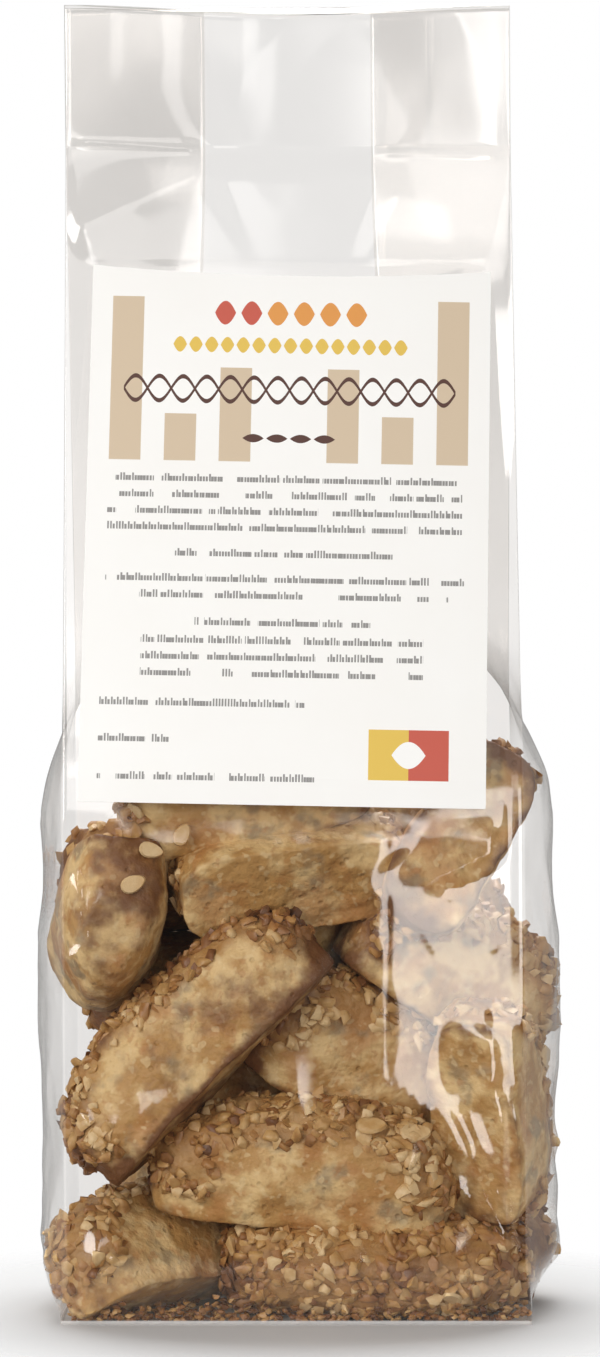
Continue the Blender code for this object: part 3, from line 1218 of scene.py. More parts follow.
    def panel_points(
        self, shares: np.ndarray, levels: np.ndarray, contents: np.ndarray, side: int
    ) -> np.ndarray:
        """Places the points of the front or the back panel, from its left crease to its right one.

        Args:
            shares: Shares across the panel.
            levels: Heights.
            contents: The points of all that lies in the bag.
            side: -1 for the front, 1 for the back.

        Returns:
            Rows of points, one row for each height.
        """
        share, z = np.meshgrid(np.append(shares, 1.0), levels)
        x = FORM.half_width(z) * (2 * share - 1)
        relief = self.panel_relief(x, z, side)
        world = x + FORM.middle(z)
        if side < 0:
            relief = mix(relief, self.label_ground(x, z), self.under_label(world, z))
        reach = self.contacts(contents, world[len(levels) // 6], levels, 1, side)
        needed = reach + self.contact_gap - FORM.half_depth(z)
        if side < 0:
            needed = np.where(self.under_label(world, z) > 0.3, -1.0, needed)
        relief = self.pressed_out(relief, needed)
        depth = side * (FORM.half_depth(z) + relief * smooth(0, 3 * MM, z))
        return np.stack([world, depth, z], axis=2)

    def gusset_points(
        self, shares: np.ndarray, levels: np.ndarray, contents: np.ndarray, side: int
    ) -> np.ndarray:
        """Places the points of a side gusset, from its front crease to its back one.

        Args:
            shares: Shares across the gusset.
            levels: Heights.
            contents: The points of all that lies in the bag.
            side: -1 for the left, 1 for the right.

        Returns:
            Rows of points, one row for each height, without the creases' own.
        """
        share, z = np.meshgrid(shares[1:], levels)
        depth = FORM.half_depth(z) * (2 * share - 1)
        offset = FORM.fold_offset(z, FORM.right_swell if side > 0 else FORM.left_swell)
        to_fold = 1 - np.abs(2 * share - 1)
        rounded = mix(to_fold, np.sin(to_fold * math.pi / 2), FORM.roundness(z))
        full = FORM.roundness(z) * smooth(0, 14 * MM, z)
        edge = np.clip(to_fold * 3, 0, 1)
        creased = self.ripple(depth, z, self.gusset_wander[0], side * 11.0 + 40)
        fine = self.ripple(depth, z, self.gusset_crinkle[0], side * 5.0 + 60)
        relief = self.gusset_wander[1] * (0.3 - np.abs(creased)) - self.gusset_crinkle[1] * np.abs(fine)
        relief = edge * full * relief
        own = FORM.half_width(z) + offset * rounded + relief
        reach = self.contacts(contents, depth[len(levels) // 6], levels, 0, side)
        needed = np.where(z < FORM.fold_bottom, reach - side * FORM.middle(z) + self.contact_gap, -1.0)
        pressed = self.pressed_out(own, needed)
        return np.stack([FORM.middle(z) + side * pressed, depth, z], axis=2)

    def close_corners(self, rings: np.ndarray, panel: int, gusset: int) -> np.ndarray:
        """Rounds the four upright creases a little.

        Args:
            rings: Rows of points round the bag.
            panel: How many points a panel has before its right crease.
            gusset: How many points a gusset has, creases left out, plus one.

        Returns:
            The rings with their crease points drawn in.
        """
        count = rings.shape[1]
        for corner in (0, panel, panel + gusset, 2 * panel + gusset):
            before, after = rings[:, corner - 1], rings[:, (corner + 1) % count]
            beside = (before + after) / 2
            rings[:, corner] = mix(beside, rings[:, corner], self.corner_share)
        return rings

    def base(self, ring: np.ndarray) -> np.ndarray:
        """Folds the film under the bag, ring by ring towards the middle of the base.

        Args:
            ring: The lowest ring round the bag.

        Returns:
            The rings of the base, the innermost first.
        """
        middle = np.array([FORM.base_middle, 0.0, 0.0])
        shares = np.linspace(0.04, 0.985, self.base_rings)
        rings = [middle + (ring - middle) * share for share in shares]
        for share, points in zip(shares, rings):
            fold = np.abs(np.abs(points[:, 0] - middle[0]) - np.abs(points[:, 1])) / FORM.base_half_depth
            points[:, 2] = self.base_rise * smooth(0.0, 0.25, 1 - share) * (1 - 0.6 * np.exp(-fold * 9))
        return np.array(rings)

    def skin(self, rings: np.ndarray, finish: "FilmFinish") -> bpy.types.Object:
        """Wraps a grid round the rings and closes it.

        Args:
            rings: Rows of points round the bag, the first one in the middle of the base.
            finish: The film's finish.

        Returns:
            The film.
        """
        up, around = rings.shape[0] - 1, rings.shape[1]
        bm = bmesh.new()
        bmesh.ops.create_grid(bm, x_segments=around, y_segments=up, size=0.5)
        for vert in bm.verts:
            column, row = round((vert.co.x + 0.5) * around), round((vert.co.y + 0.5) * up)
            vert.co = rings[row, column % around]
        bmesh.ops.remove_doubles(bm, verts=bm.verts, dist=0.002 * MM)
        bmesh.ops.holes_fill(bm, edges=[edge for edge in bm.edges if edge.is_boundary])
        bmesh.ops.recalc_face_normals(bm, faces=bm.faces)
        mesh = bpy.data.meshes.new("film")
        bm.to_mesh(mesh)
        bm.free()
        mesh.shade_smooth()
        film = add_piece("film", mesh, finish.material())
        return film


class Rise(Enum):
    """How a mask rises between its limits."""

    STRAIGHT = "LINEAR"
    SOFT = "SMOOTHSTEP"


class NodeTree:
    """A short way to add nodes to a material or a group and to join them."""

    def __init__(self, tree: bpy.types.NodeTree) -> None:
        """Keeps the tree that the nodes go into."""
        self.tree = tree

    def add(self, kind: str, inputs: dict | None = None, **settings: object) -> bpy.types.Node:
        """Adds a node.

        Args:
            kind: The node's type.
            inputs: What each named or numbered input gets: a socket or a value.
            settings: The node's own properties.

        Returns:
            The node.
        """
        node = self.tree.nodes.new(kind)
        for name, value in settings.items():
            setattr(node, name, value)
        for name, value in (inputs or {}).items():
            self.feed(node.inputs[name], value)
        return node

    def feed(self, target: bpy.types.NodeSocket, value: object) -> None:
        """Gives an input a link, where the value is a socket, or else the value itself."""
        if isinstance(value, bpy.types.NodeSocket):
            self.tree.links.new(value, target)
        else:
            target.default_value = value

    def math(self, operation: str, *values: object) -> bpy.types.NodeSocket:
        """Returns the result of a Math node on up to three sockets or numbers."""
        node = self.add("ShaderNodeMath", dict(enumerate(values)), operation=operation)
        return node.outputs[0]

    def mix(self, share: object, a: object, b: object) -> bpy.types.NodeSocket:
        """Returns the colour that a Mix node makes of colours a and b."""
        node = self.add("ShaderNodeMix", {0: share}, data_type="RGBA")
        for index, value in ((6, a), (7, b)):
            linked = isinstance(value, bpy.types.NodeSocket)
            self.feed(node.inputs[index], value if linked else (*value, 1.0))
        return node.outputs[2]

    def product(self, *values: object) -> bpy.types.NodeSocket:
        """Returns the product of sockets or numbers."""
        level = values[0]
        for value in values[1:]:
            level = self.math("MULTIPLY", level, value)
        return level

    def rise(self, value: object, low: object, high: object, kind: Rise) -> bpy.types.NodeSocket:
        """Returns how far a value has come from low, where it is 0, to high, where it is 1."""
        limits = {"Value": value, "From Min": low, "From Max": high}
        return self.add("ShaderNodeMapRange", limits, interpolation_type=kind.value).outputs[0]

    def blend(self, share: object, a: bpy.types.Node, b: bpy.types.Node, output: str) -> None:
        """Gives the tree's output node the blend of shader nodes a and b."""
        both = self.add("ShaderNodeMixShader", {"Fac": share, 1: a.outputs[0], 2: b.outputs[0]})
        self.feed(self.tree.nodes[output].inputs["Surface"], both.outputs[0])

    def bump(self, height: bpy.types.NodeSocket, strength: float, depth: float) -> bpy.types.NodeSocket:
        """Returns the normals of a relief of the given strength and depth in metres."""
        node = self.add("ShaderNodeBump", {"Height": height, "Strength": strength, "Distance": depth})
        return node.outputs[0]

    def group(self, group: bpy.types.NodeTree, inputs: dict) -> bpy.types.Node:
        """Adds a node group.

        Args:
            group: The group.
            inputs: What each named input gets.

        Returns:
            The group's node.
        """
        node = self.add("ShaderNodeGroup", node_tree=group)
        for name, value in inputs.items():
            self.feed(node.inputs[name], value)
        return node


def new_group(
    name: str, inputs: dict[str, tuple[str, object]], outputs: dict[str, str]
) -> tuple[bpy.types.NodeTree, NodeTree, bpy.types.Node, bpy.types.Node]:
    """Starts a shader node group with named sockets.

    Args:
        name: The group's name.
        inputs: Each input's socket type and default.
        outputs: Each output's socket type.

    Returns:
        The group, its node helper, its input node and its output node.
    """
    group = bpy.data.node_groups.new(name, "ShaderNodeTree")
    for label, (kind, default) in inputs.items():
        socket = group.interface.new_socket(label, in_out="INPUT", socket_type=kind)
        if default is not None:
            socket.default_value = default
    for label, kind in outputs.items():
        group.interface.new_socket(label, in_out="OUTPUT", socket_type=kind)
    tree = NodeTree(group)
    return group, tree, tree.add("NodeGroupInput"), tree.add("NodeGroupOutput")


FLOAT, VECTOR = "NodeSocketFloat", "NodeSocketVector"


def patch_group() -> bpy.types.NodeTree:
    """Makes the group of soft patches that the crust, the almonds and the paper share.

    Returns:
        The group: a noise mask that rises between two levels.
    """
    if "soft_patches" in bpy.data.node_groups:
        return bpy.data.node_groups["soft_patches"]
    sockets = {"Vector": (VECTOR, None), "Scale": (FLOAT, 100.0), "Detail": (FLOAT, 3.0)}
    sockets |= {"Low": (FLOAT, 0.45), "High": (FLOAT, 0.6)}
    group, tree, given, result = new_group("soft_patches", sockets, {"Mask": FLOAT})
    speckle = tree.add(
        "ShaderNodeTexNoise", {name: given.outputs[name] for name in ("Vector", "Scale", "Detail")}
    )
    rise = tree.rise(speckle.outputs[0], given.outputs["Low"], given.outputs["High"], Rise.SOFT)
    tree.feed(result.inputs["Mask"], rise)
    return group


def grain_group() -> bpy.types.NodeTree:
    """Makes the group of baked almond grain that the crust and the almonds share.

    Returns:
        The group: a height of fine grain with small pits.
    """
    if "baked_grain" in bpy.data.node_groups:
        return bpy.data.node_groups["baked_grain"]
    sockets = {"Vector": (VECTOR, None), "Grain Scale": (FLOAT, 900.0), "Pit Scale": (FLOAT, 420.0)}
    sockets |= {"Pit Depth": (FLOAT, 0.8)}
    group, tree, given, result = new_group("baked_grain", sockets, {"Height": FLOAT, "Pits": FLOAT})
    grain = tree.add(
        "ShaderNodeTexNoise",
        {"Vector": given.outputs["Vector"], "Scale": given.outputs["Grain Scale"], "Detail": 4.0},
    )
    cells = tree.add(
        "ShaderNodeTexVoronoi",
        {"Vector": given.outputs["Vector"], "Scale": given.outputs["Pit Scale"]},
    )
    pits = tree.add(
        "ShaderNodeMapRange",
        {"Value": cells.outputs["Distance"], "From Min": 0.2, "From Max": 0.06},
        interpolation_type="SMOOTHSTEP",
    )
    sunk = tree.math("MULTIPLY", pits.outputs[0], given.outputs["Pit Depth"])
    height = tree.math("SUBTRACT", grain.outputs[0], sunk)
    tree.feed(result.inputs["Height"], height)
    tree.feed(result.inputs["Pits"], pits.outputs[0])
    return group


def plain_material(name: str) -> tuple[bpy.types.Material, NodeTree, bpy.types.Node]:
    """Starts a material.

    Args:
        name: The material's name.

    Returns:
        The material, its node helper and its Principled shader.
    """
    material = bpy.data.materials.new(name)
    material.use_nodes = True
    return material, NodeTree(material.node_tree), material.node_tree.nodes["Principled BSDF"]


@dataclass(frozen=True)
class CrustFinish:
    """The baked almond paste of the smooth faces, browned at the rims and under the nuts."""

    name: str = "baked_almond_paste"
    pale: Triple = (0.72, 0.50, 0.23)
    golden: Triple = (0.48, 0.265, 0.083)
    cream: Triple = (0.78, 0.60, 0.33)
    olive: Triple = (0.27, 0.20, 0.115)
    toasted: Triple = (0.42, 0.175, 0.045)
    brown: Triple = (0.17, 0.066, 0.019)
    under_nuts: Triple = (0.36, 0.175, 0.047)
    roughness: float = 0.55
    relief: Pair = (0.75, 1.3 * MM)
    burnt_levels: Pair = (0.34, 1.2)

    def material(self) -> bpy.types.Material:
        """Returns the material, made once."""
        if self.name in bpy.data.materials:
            return bpy.data.materials[self.name]
        material, tree, shader = plain_material(self.name)
        place = tree.add("ShaderNodeTexCoord").outputs["Object"]
        coat = tree.add("ShaderNodeAttribute", attribute_name="nut_coat").outputs["Fac"]
        bake = tree.add("ShaderNodeAttribute", attribute_name="browning").outputs["Fac"]
        patches, grain = patch_group(), grain_group()
        colour = self.golden
        for tint, share, scale, detail, low, high in (
            (self.pale, 1.0, 125.0, 4.0, 0.42, 0.58),
            (self.toasted, 0.62, 92.0, 4.0, 0.50, 0.63),
            (self.olive, 0.72, 118.0, 3.0, 0.55, 0.68),
            (self.toasted, 0.45, 430.0, 3.0, 0.56, 0.68),
            (self.cream, 0.4, 520.0, 1.0, 0.6, 0.68),
        ):
            sizes = {"Scale": scale, "Detail": detail, "Low": low, "High": high}
            patch = tree.group(patches, {"Vector": place} | sizes)
            colour = tree.mix(tree.math("MULTIPLY", patch.outputs[0], share), colour, tint)
        cloud = tree.group(patches, {"Vector": place, "Scale": 270.0, "Low": 0.30, "High": 0.72})
        sizes = {"Grain Scale": 380.0, "Pit Scale": 300.0, "Pit Depth": 0.22}
        relief = tree.group(grain, {"Vector": place} | sizes)
        burnt = tree.math("MULTIPLY_ADD", cloud.outputs[0], 0.45, bake)
        burnt = tree.rise(burnt, *self.burnt_levels, Rise.SOFT)
        colour = tree.mix(tree.math("MULTIPLY", coat, 0.75), colour, self.under_nuts)
        colour = tree.mix(burnt, colour, self.brown)
        colour = tree.mix(tree.math("MULTIPLY", relief.outputs["Pits"], 0.15), colour, self.brown)
        tree.feed(shader.inputs["Base Color"], colour)
        tree.feed(shader.inputs["Roughness"], self.roughness)
        tree.feed(shader.inputs["Normal"], tree.bump(relief.outputs["Height"], *self.relief))
        return material


@dataclass(frozen=True)
class NibFinish:
    """Almonds, from blanched cream to dark toast."""

    name: str = "toasted_almond"
    shades: tuple[tuple[float, Triple], ...] = (
        (0.0, (0.70, 0.50, 0.26)),
        (0.28, (0.52, 0.30, 0.105)),
        (0.5, (0.36, 0.166, 0.05)),
        (0.74, (0.20, 0.078, 0.024)),
        (1.0, (0.06, 0.024, 0.01)),
    )
    roughness: float = 0.42
    relief: Pair = (0.35, 0.4 * MM)

    def material(self) -> bpy.types.Material:
        """Returns the material, made once."""
        if self.name in bpy.data.materials:
            return bpy.data.materials[self.name]
        material, tree, shader = plain_material(self.name)
        place = tree.add("ShaderNodeTexCoord").outputs["Object"]
        # The level carries the almonds' toast and, on the coat, the painted shade of sunk chips
        toast_and_shade = tree.add("ShaderNodeAttribute", attribute_name="toast_and_shade").outputs["Fac"]
        spots = tree.group(patch_group(), {"Vector": place, "Scale": 330.0, "Low": 0.3, "High": 0.75})
        level = tree.math("MULTIPLY_ADD", spots.outputs[0], 0.24, tree.math("SUBTRACT", toast_and_shade, 0.1))
        ramp = tree.add("ShaderNodeValToRGB", {"Fac": level})
        stops = ramp.color_ramp.elements
        stops[0].position, stops[0].color = 0.0, (*self.shades[0][1], 1)
        stops[1].position, stops[1].color = 1.0, (*self.shades[-1][1], 1)
        for position, colour in self.shades[1:-1]:
            stop = stops.new(position)
            stop.color = (*colour, 1)
        relief = tree.group(grain_group(), {"Vector": place, "Grain Scale": 1300.0, "Pit Depth": 0.2})
        tree.feed(shader.inputs["Base Color"], ramp.outputs[0])
        tree.feed(shader.inputs["Roughness"], self.roughness)
        tree.feed(shader.inputs["Normal"], tree.bump(relief.outputs["Height"], *self.relief))
        return material


@dataclass(frozen=True)
class FilmFinish:
    """Clear glossy film, a little grey through its thickness, with a whitish band along its base: a
    painted highlight for the bright fold line, partly milky film.
    """

    name: str = "clear_film"
    through: Triple = (0.958, 0.949, 0.94)
    gloss: Triple = (0.97, 0.95, 0.93)
    head_on: float = 0.085
    slant_power: float = 4.5
    roughness: float = 0.085
    base_line: Pair = (0.95 * MM, 0.65 * MM)
    base_haze_and_highlight: float = 0.6

    def material(self) -> bpy.types.Material:
        """Returns the material: what lies behind shows through all but the reflected share."""
        material, tree, shader = plain_material(self.name)
        facing = tree.add("ShaderNodeLayerWeight", {"Blend": 0.5}).outputs["Facing"]
        slant = tree.math("POWER", facing, self.slant_power)
        share = tree.math("MULTIPLY_ADD", slant, 1 - self.head_on, self.head_on)
        place = tree.add("ShaderNodeTexCoord").outputs["Object"]
        height = tree.add("ShaderNodeSeparateXYZ", {0: place}).outputs["Z"]
        # The lowest mm of film turns white and matt: a painted highlight along the base fold, partly milky
        # film
        hazy_highlight = tree.rise(height, *self.base_line, Rise.STRAIGHT)
        share = tree.math("MAXIMUM", share, tree.math("MULTIPLY", hazy_highlight, self.base_haze_and_highlight))
        tree.feed(shader.inputs["Metallic"], tree.math("SUBTRACT", 1.0, hazy_highlight))
        tree.feed(shader.inputs["Base Color"], (*self.gloss, 1))
        tree.feed(shader.inputs["Roughness"], self.roughness)
        clear = tree.add("ShaderNodeBsdfTransparent", {"Color": (*self.through, 1)})
        tree.blend(share, clear, shader, "Material Output")
        return material


SIDES = ("Left", "Right", "Bottom", "Top")
AREA = ("Across", "Up", *SIDES)


def print_group(name: str, *more: str) -> tuple[bpy.types.NodeTree, NodeTree, dict, bpy.types.NodeSocket]:
    """Starts a group that prints inside a rectangle.

    Args:
        name: The group's name.
        more: Its inputs besides the place on the label and the rectangle's sides.

    Returns:
        The group, its node helper, what its inputs give by name, and where its mask goes.
    """
    names = (*AREA, *more)
    group, tree, given, result = new_group(name, {each: (FLOAT, 0.0) for each in names}, {"Mask": FLOAT})
    return group, tree, {each: given.outputs[each] for each in names}, result.inputs["Mask"]


def print_box_group() -> bpy.types.NodeTree:
    """Makes the group that marks a rectangle of print.

    Returns:
        The group: 1 inside the rectangle, 0 outside.
    """
    group, tree, get, mask = print_group("print_box")
    sides = (
        tree.math("GREATER_THAN", get["Across"], get["Left"]),
        tree.math("LESS_THAN", get["Across"], get["Right"]),
        tree.math("GREATER_THAN", get["Up"], get["Bottom"]),
        tree.math("LESS_THAN", get["Up"], get["Top"]),
    )
    tree.feed(mask, tree.product(*sides))
    return group


def dash_lines_group(box: bpy.types.NodeTree) -> bpy.types.NodeTree:
    """Makes the group that fills a rectangle with lines of broken dashes, as a stand-in for small print.

    Args:
        box: The group that marks a rectangle.

    Returns:
        The group: 1 on the dashes.
    """
    group, tree, get, mask = print_group("dash_lines", "Pitch", "Weight", "Stroke", "Seed")
    level = tree.math("DIVIDE", tree.math("SUBTRACT", get["Top"], get["Up"]), get["Pitch"])
    key = tree.math("MULTIPLY_ADD", tree.math("FLOOR", level), 7.31, get["Seed"])
    # Words: runs of strokes along a line, with gaps between them
    words = tree.add("ShaderNodeCombineXYZ", {0: tree.math("MULTIPLY", get["Across"], 0.23), 1: key})
    word = tree.add("ShaderNodeTexNoise", {"Vector": words.outputs[0], "Scale": 1.0, "Detail": 1.0})
    # Strokes: each has its own chance, which sets its width and whether it stands tall
    stroke = tree.math("DIVIDE", get["Across"], get["Stroke"])
    cell = tree.add("ShaderNodeCombineXYZ", {0: tree.math("FLOOR", stroke), 1: key})
    chance = tree.add("ShaderNodeTexWhiteNoise", {"Vector": cell.outputs[0]}).outputs["Value"]
    tall = tree.math("GREATER_THAN", chance, 0.72)
    head = tree.math("MULTIPLY_ADD", tall, -0.16, 0.16)
    inked = tree.product(
        tree.math("GREATER_THAN", tree.math("FRACT", level), head),
        tree.math("LESS_THAN", tree.math("FRACT", level), get["Weight"]),
        tree.math("GREATER_THAN", tree.math("FRACT", stroke), tree.math("MULTIPLY", chance, 0.5)),
        tree.math("GREATER_THAN", word.outputs[0], 0.42),
        tree.group(box, {name: get[name] for name in AREA}).outputs[0],
    )
    tree.feed(mask, inked)
    return group


def almond_row_group(box: bpy.types.NodeTree) -> bpy.types.NodeTree:
    """Makes the group that prints a row of pointed ovals.

    Args:
        box: The group that marks a rectangle.

    Returns:
        The group: 1 on the ovals.
    """
    group, tree, get, mask = print_group("almond_row", "Pitch", "Fill")
    along = tree.math("SUBTRACT", get["Across"], get["Left"])
    step = tree.math("FRACT", tree.math("DIVIDE", along, get["Pitch"]))
    aside = tree.math("ABSOLUTE", tree.math("MULTIPLY_ADD", step, 2.0, -1.0))
    aside = tree.math("DIVIDE", aside, get["Fill"])
    bulge = tree.math("SUBTRACT", 1.0, tree.math("MULTIPLY", aside, aside))
    half = tree.math("MULTIPLY", tree.math("SUBTRACT", get["Top"], get["Bottom"]), 0.5)
    middle = tree.math("MULTIPLY", tree.math("ADD", get["Top"], get["Bottom"]), 0.5)
    off = tree.math("ABSOLUTE", tree.math("SUBTRACT", get["Up"], middle))
    oval = tree.math("LESS_THAN", off, tree.math("MULTIPLY", half, bulge))
    area = tree.group(box, {name: get[name] for name in AREA}).outputs[0]
    tree.feed(mask, tree.product(oval, area))
    return group


def wave_group(box: bpy.types.NodeTree) -> bpy.types.NodeTree:
    """Makes the group that prints a band of two crossing waves.

    Args:
        box: The group that marks a rectangle.

    Returns:
        The group: 1 on the waves.
    """
    group, tree, get, mask = print_group("wave_band", "Pitch", "Weight")
    turn = tree.math("DIVIDE", tree.math("SUBTRACT", get["Across"], get["Left"]), get["Pitch"])
    swing = tree.math("SINE", tree.math("MULTIPLY", turn, 2 * math.pi))
    half = tree.math("MULTIPLY", tree.math("SUBTRACT", get["Top"], get["Bottom"]), 0.38)
    middle = tree.math("MULTIPLY", tree.math("ADD", get["Top"], get["Bottom"]), 0.5)
    off = tree.math("SUBTRACT", get["Up"], middle)
    wave = tree.math("MULTIPLY", swing, half)
    rising, falling = (
        tree.math("LESS_THAN", tree.math("ABSOLUTE", tree.math(way, off, wave)), get["Weight"])
        for way in ("SUBTRACT", "ADD")
    )
    area = tree.group(box, {name: get[name] for name in AREA}).outputs[0]
    tree.feed(mask, tree.product(tree.math("MAXIMUM", rising, falling), area))
    return group


class Ink(Enum):
    """The colours of the label's print."""

    BEIGE = (0.62, 0.49, 0.345)
    BLACK = (0.035, 0.028, 0.026)
    BROWN = (0.085, 0.03, 0.02)
    RED = (0.55, 0.095, 0.06)
    ORANGE = (0.72, 0.30, 0.065)
    YELLOW = (0.74, 0.50, 0.085)


@dataclass(frozen=True)
class LabelFinish:
    """White label paper with a plain generic print: bars, rows of ovals, waves, broken lines and a field.

    Print sizes are in mm from the label's middle: left, right, bottom and top.
    """

    name: str = "label_paper"
    turn: float = -1.1
    paper: Triple = (0.91, 0.895, 0.865)
    roughness: float = 0.5
    fibres: float = 0.05
    bars: tuple[Sides, ...] = (
        (-34.0, -28.0, 13.5, 45.0),
        (-23.6, -17.6, 13.5, 22.5),
        (-13.2, -7.2, 13.5, 31.5),
        (7.2, 13.2, 13.5, 31.5),
        (17.6, 23.6, 13.5, 22.5),
        (28.0, 34.0, 13.5, 45.0),
    )
    oval_rows: tuple[tuple[Ink, Sides, float, float], ...] = (
        (Ink.RED, (-15.0, -5.0, 39.8, 44.4), 5.0, 0.8),
        (Ink.ORANGE, (-5.0, 15.0, 39.8, 44.4), 5.0, 0.8),
        (Ink.YELLOW, (-22.5, 22.5, 34.4, 37.4), 3.0, 0.86),
        (Ink.BROWN, (-9.0, 9.0, 17.2, 18.8), 4.5, 0.9),
    )
    wave_band: Sides = (-31.5, 31.5, 24.2, 30.4)
    wave_pitch: float = 9.0
    wave_weight: float = 0.42
    small_print: tuple[tuple[float, float, float, float, float], ...] = (
        (-34.0, 33.0, 0.0, 11.0, 1.0),
        (-21.0, 20.0, -5.0, -3.2, 9.0),
        (-34.0, 33.5, -12.9, -8.0, 17.0),
        (-17.0, 16.0, -18.0, -16.2, 25.0),
        (-27.0, 26.0, -27.5, -19.6, 41.0),
        (-34.5, 4.0, -33.2, -31.4, 57.0),
        (-34.5, -20.0, -40.0, -38.2, 65.0),
        (-34.5, 6.0, -47.0, -45.2, 81.0),
    )
    line_pitch: float = 3.1
    line_weight: float = 0.46
    stroke_pitch: float = 0.56
    line_ink: float = 0.74
    field: Sides = (16.0, 31.0, -46.0, -36.6)
    field_oval: Sides = (20.2, 26.8, -43.8, -38.8)
    field_fill: float = 0.96

    def material(self) -> bpy.types.Material:
        """Returns the printed paper, plain on its back."""
        material, tree, shader = plain_material(self.name)
        coords = tree.add("ShaderNodeTexCoord")
        place = coords.outputs["Object"]
        fibres = tree.group(patch_group(), {"Vector": place, "Scale": 60.0, "Low": 0.2, "High": 0.8})
        colour = tree.mix(tree.product(fibres.outputs[0], self.fibres), self.paper, Ink.BEIGE.value)
        colour = self.printed(tree, colour, self.place_on_label(tree, place))
        outward = tree.add("ShaderNodeSeparateXYZ", {0: coords.outputs["Normal"]}).outputs["Y"]
        colour = tree.mix(tree.math("LESS_THAN", outward, 0.0), self.paper, colour)
        tree.feed(shader.inputs["Base Color"], colour)
        tree.feed(shader.inputs["Roughness"], self.roughness)
        return material

    def place_on_label(
        self, tree: NodeTree, place: bpy.types.NodeSocket
    ) -> dict[str, bpy.types.NodeSocket]:
        """Finds the place on the label in mm from its middle.

        Args:
            tree: The material's node helper.
            place: The place on the object.

        Returns:
            The place across and up the label, along its own edges.
        """
        low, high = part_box("label")
        middle = ((low.x + high.x) / 2, 0.0, (low.z + high.z) / 2)
        turn = (0.0, -math.radians(self.turn), 0.0)
        flat = tree.add(
            "ShaderNodeMapping",
            {"Vector": place, "Location": middle, "Rotation": turn, "Scale": (MM, MM, MM)},
            vector_type="TEXTURE",
        )
        split = tree.add("ShaderNodeSeparateXYZ", {0: flat.outputs[0]})
        return {"Across": split.outputs["X"], "Up": split.outputs["Z"]}

    def printed(
        self, tree: NodeTree, colour: bpy.types.NodeSocket, where: dict[str, bpy.types.NodeSocket]
    ) -> bpy.types.NodeSocket:
        """Prints on the paper, each mark over the ones before it.

        Args:
            tree: The material's node helper.
            colour: The paper's colour.
            where: The place across and up the label.

        Returns:
            The colour of the printed paper.
        """
        box = print_box_group()
        ovals = almond_row_group(box)
        marks = [(box, bar, {}, Ink.BEIGE.value) for bar in self.bars]
        for ink, sizes, pitch, fill in self.oval_rows:
            marks.append((ovals, sizes, {"Pitch": pitch, "Fill": fill}, ink.value))
        waves = {"Pitch": self.wave_pitch, "Weight": self.wave_weight}
        marks.append((wave_group(box), self.wave_band, waves, Ink.BROWN.value))
        for group, sizes, more, tint in marks:
            mask = tree.group(group, where | dict(zip(SIDES, sizes)) | more)
            colour = tree.mix(mask.outputs[0], colour, tint)
        dashes = dash_lines_group(box)
        lines = {"Pitch": self.line_pitch, "Weight": self.line_weight, "Stroke": self.stroke_pitch}
        for *sizes, seed in self.small_print:
            mask = tree.group(dashes, where | dict(zip(SIDES, sizes)) | lines | {"Seed": seed})
            colour = tree.mix(tree.product(mask.outputs[0], self.line_ink), colour, Ink.BLACK.value)
        left, right = self.field[:2]
        beyond = tree.math("GREATER_THAN", where["Across"], (left + right) / 2)
        mask = tree.group(box, where | dict(zip(SIDES, self.field)))
        colour = tree.mix(mask.outputs[0], colour, tree.mix(beyond, Ink.YELLOW.value, Ink.RED.value))
        left, right = self.field_oval[:2]
        whole = {"Pitch": right - left, "Fill": self.field_fill}
        mask = tree.group(ovals, where | dict(zip(SIDES, self.field_oval)) | whole)
        return tree.mix(mask.outputs[0], colour, self.paper)


@dataclass
class PaperLabel:
    """The label on the front: the CAD's own sheet, dressed with its printed paper."""

    finish: LabelFinish = LabelFinish()

    def dress(self) -> None:
        """Gives the CAD's label its paper."""
        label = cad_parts["label"]
        material = self.finish.material()
        for slot in label.material_slots:
            slot.material = material
        LOG.info("label dressed")


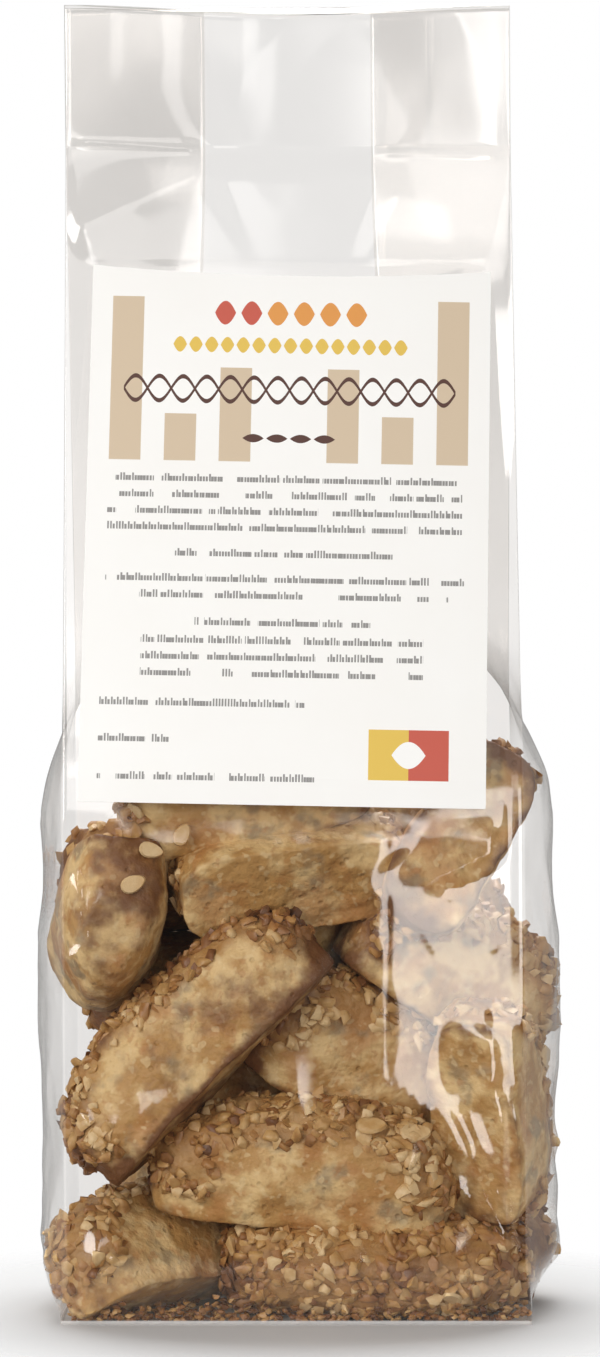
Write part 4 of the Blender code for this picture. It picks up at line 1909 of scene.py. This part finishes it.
@dataclass
class Studio:
    """A floor with a painted shadow round the bag, soft boxes and a light surround."""

    floor_radius: float = 1.6
    painted_shadow_fade: Pair = (0.048, 0.095)
    shadowed_floor_colour: Triple = (0.55, 0.55, 0.55)
    floor_roughness: float = 0.7
    surround: Triple = (0.34, 0.335, 0.33)
    walls: Triple = (0.85, 0.84, 0.83)
    wall_span: Pair = (0.72, 0.92)
    low_front: Triple = (0.05, 0.048, 0.046)
    front_span: Pair = (-0.45, -0.85)
    low_span: Pair = (0.4, 0.12)
    backdrop: float = 1.0
    boxes: tuple[tuple[str, Triple, Pair, float], ...] = (
        ("top_box", (0.0, 0.4, 0.85), (0.7, 0.7), 10.0),
        ("left_box", (-0.66, -0.72, 0.38), (0.5, 0.6), 6.3),
        ("right_box", (0.30, -0.9, 0.15), (0.40, 0.42), 2.5),
        ("left_strip", (-0.20, -0.9, 0.34), (0.10, 0.34), 0.27),
        ("high_left_box", (-0.125, -0.88, 0.60), (0.22, 0.34), 0.36),
        ("high_right_box", (0.195, -0.88, 0.67), (0.32, 0.42), 0.08),
        ("right_fill", (0.075, -0.9, 0.36), (0.10, 0.16), 0.09),
    )
    aim: Triple = (0.0, 0.0, 0.1)

    def build(self) -> None:
        """Sets up the floor, the lights and the surround."""
        bpy.context.scene.view_settings.view_transform = "Standard"
        self.add_floor()
        self.add_surround()
        for box in self.boxes:
            self.add_box(*box)

    def add_floor(self) -> None:
        """Lays a grey floor round the bag that fades out into the white surround within a few centimetres:
        a painted shadow round the base.
        """
        bm = bmesh.new()
        bmesh.ops.create_circle(bm, cap_ends=True, segments=96, radius=self.floor_radius)
        mesh = bpy.data.meshes.new("floor")
        bm.to_mesh(mesh)
        bm.free()
        floor = bpy.data.objects.new("floor", mesh)
        bpy.context.scene.collection.objects.link(floor)
        material, tree, shader = plain_material("white_floor")
        tree.feed(shader.inputs["Base Color"], (*self.shadowed_floor_colour, 1))
        tree.feed(shader.inputs["Roughness"], self.floor_roughness)
        place = tree.add("ShaderNodeTexCoord").outputs["Object"]
        out = tree.add("ShaderNodeVectorMath", {0: place}, operation="LENGTH").outputs["Value"]
        # Grey close to the bag, clearing to the white surround further out: a painted contact shadow round
        # the base
        shadow_fade = tree.rise(out, *self.painted_shadow_fade, Rise.STRAIGHT)
        tree.blend(shadow_fade, shader, tree.add("ShaderNodeBsdfTransparent"), "Material Output")
        mesh.materials.append(material)

    def add_surround(self) -> None:
        """Makes the surround white where the camera sees it, and a dimmer studio elsewhere."""
        world = bpy.data.worlds.new("studio")
        world.use_nodes = True
        tree = NodeTree(world.node_tree)
        way = tree.add("ShaderNodeSeparateXYZ", {0: tree.add("ShaderNodeTexCoord").outputs["Generated"]})
        ahead = tree.rise(way.outputs["Y"], *self.front_span, Rise.STRAIGHT)
        low = tree.rise(way.outputs["Z"], *self.low_span, Rise.STRAIGHT)
        aside = tree.math("ABSOLUTE", way.outputs["X"])
        wall = tree.rise(aside, *self.wall_span, Rise.STRAIGHT)
        shade = tree.mix(wall, self.surround, self.walls)
        shade = tree.mix(tree.product(ahead, low), shade, self.low_front)
        dim = tree.add("ShaderNodeBackground", {"Color": shade, "Strength": 1.0})
        white = tree.add("ShaderNodeBackground", {"Color": (1, 1, 1, 1), "Strength": self.backdrop})
        seen = tree.add("ShaderNodeLightPath").outputs["Is Camera Ray"]
        tree.blend(seen, dim, white, "World Output")
        bpy.context.scene.world = world

    def add_box(self, name: str, place: tuple, size: tuple, power: float) -> None:
        """Hangs a soft box that faces the bag.

        Args:
            name: The light's name.
            place: Where its middle is.
            size: Its width and height.
            power: Its power in watts.
        """
        data = bpy.data.lights.new(name, "AREA")
        data.shape = "RECTANGLE"
        data.size, data.size_y = size
        data.energy = power
        lamp = bpy.data.objects.new(name, data)
        lamp.location = place
        way = Vector(self.aim) - Vector(place)
        lamp.rotation_euler = way.to_track_quat("-Z", "Y").to_euler()
        bpy.context.scene.collection.objects.link(lamp)


def main() -> None:
    """Builds the bag's looks in order."""
    # The noise that swells the cookies starts from the clock unless it is given a seed
    noise.seed_set(SWELL_SEED)
    VIEW.add_camera()
    Studio().build()
    cookies = CookiePile(packed_cookies()).build(CrustFinish())
    nuts = ChoppedAlmonds().build(cookies, NibFinish())
    flakes = AlmondFlakes().build(cookies, NibFinish())
    contents = np.concatenate([points_of(piece.data) for piece in (*cookies, *nuts, flakes)])
    Film().build(contents, FilmFinish())
    PaperLabel().dress()
    LOG.info("boxes written")


if __name__ == "__main__":
    main()
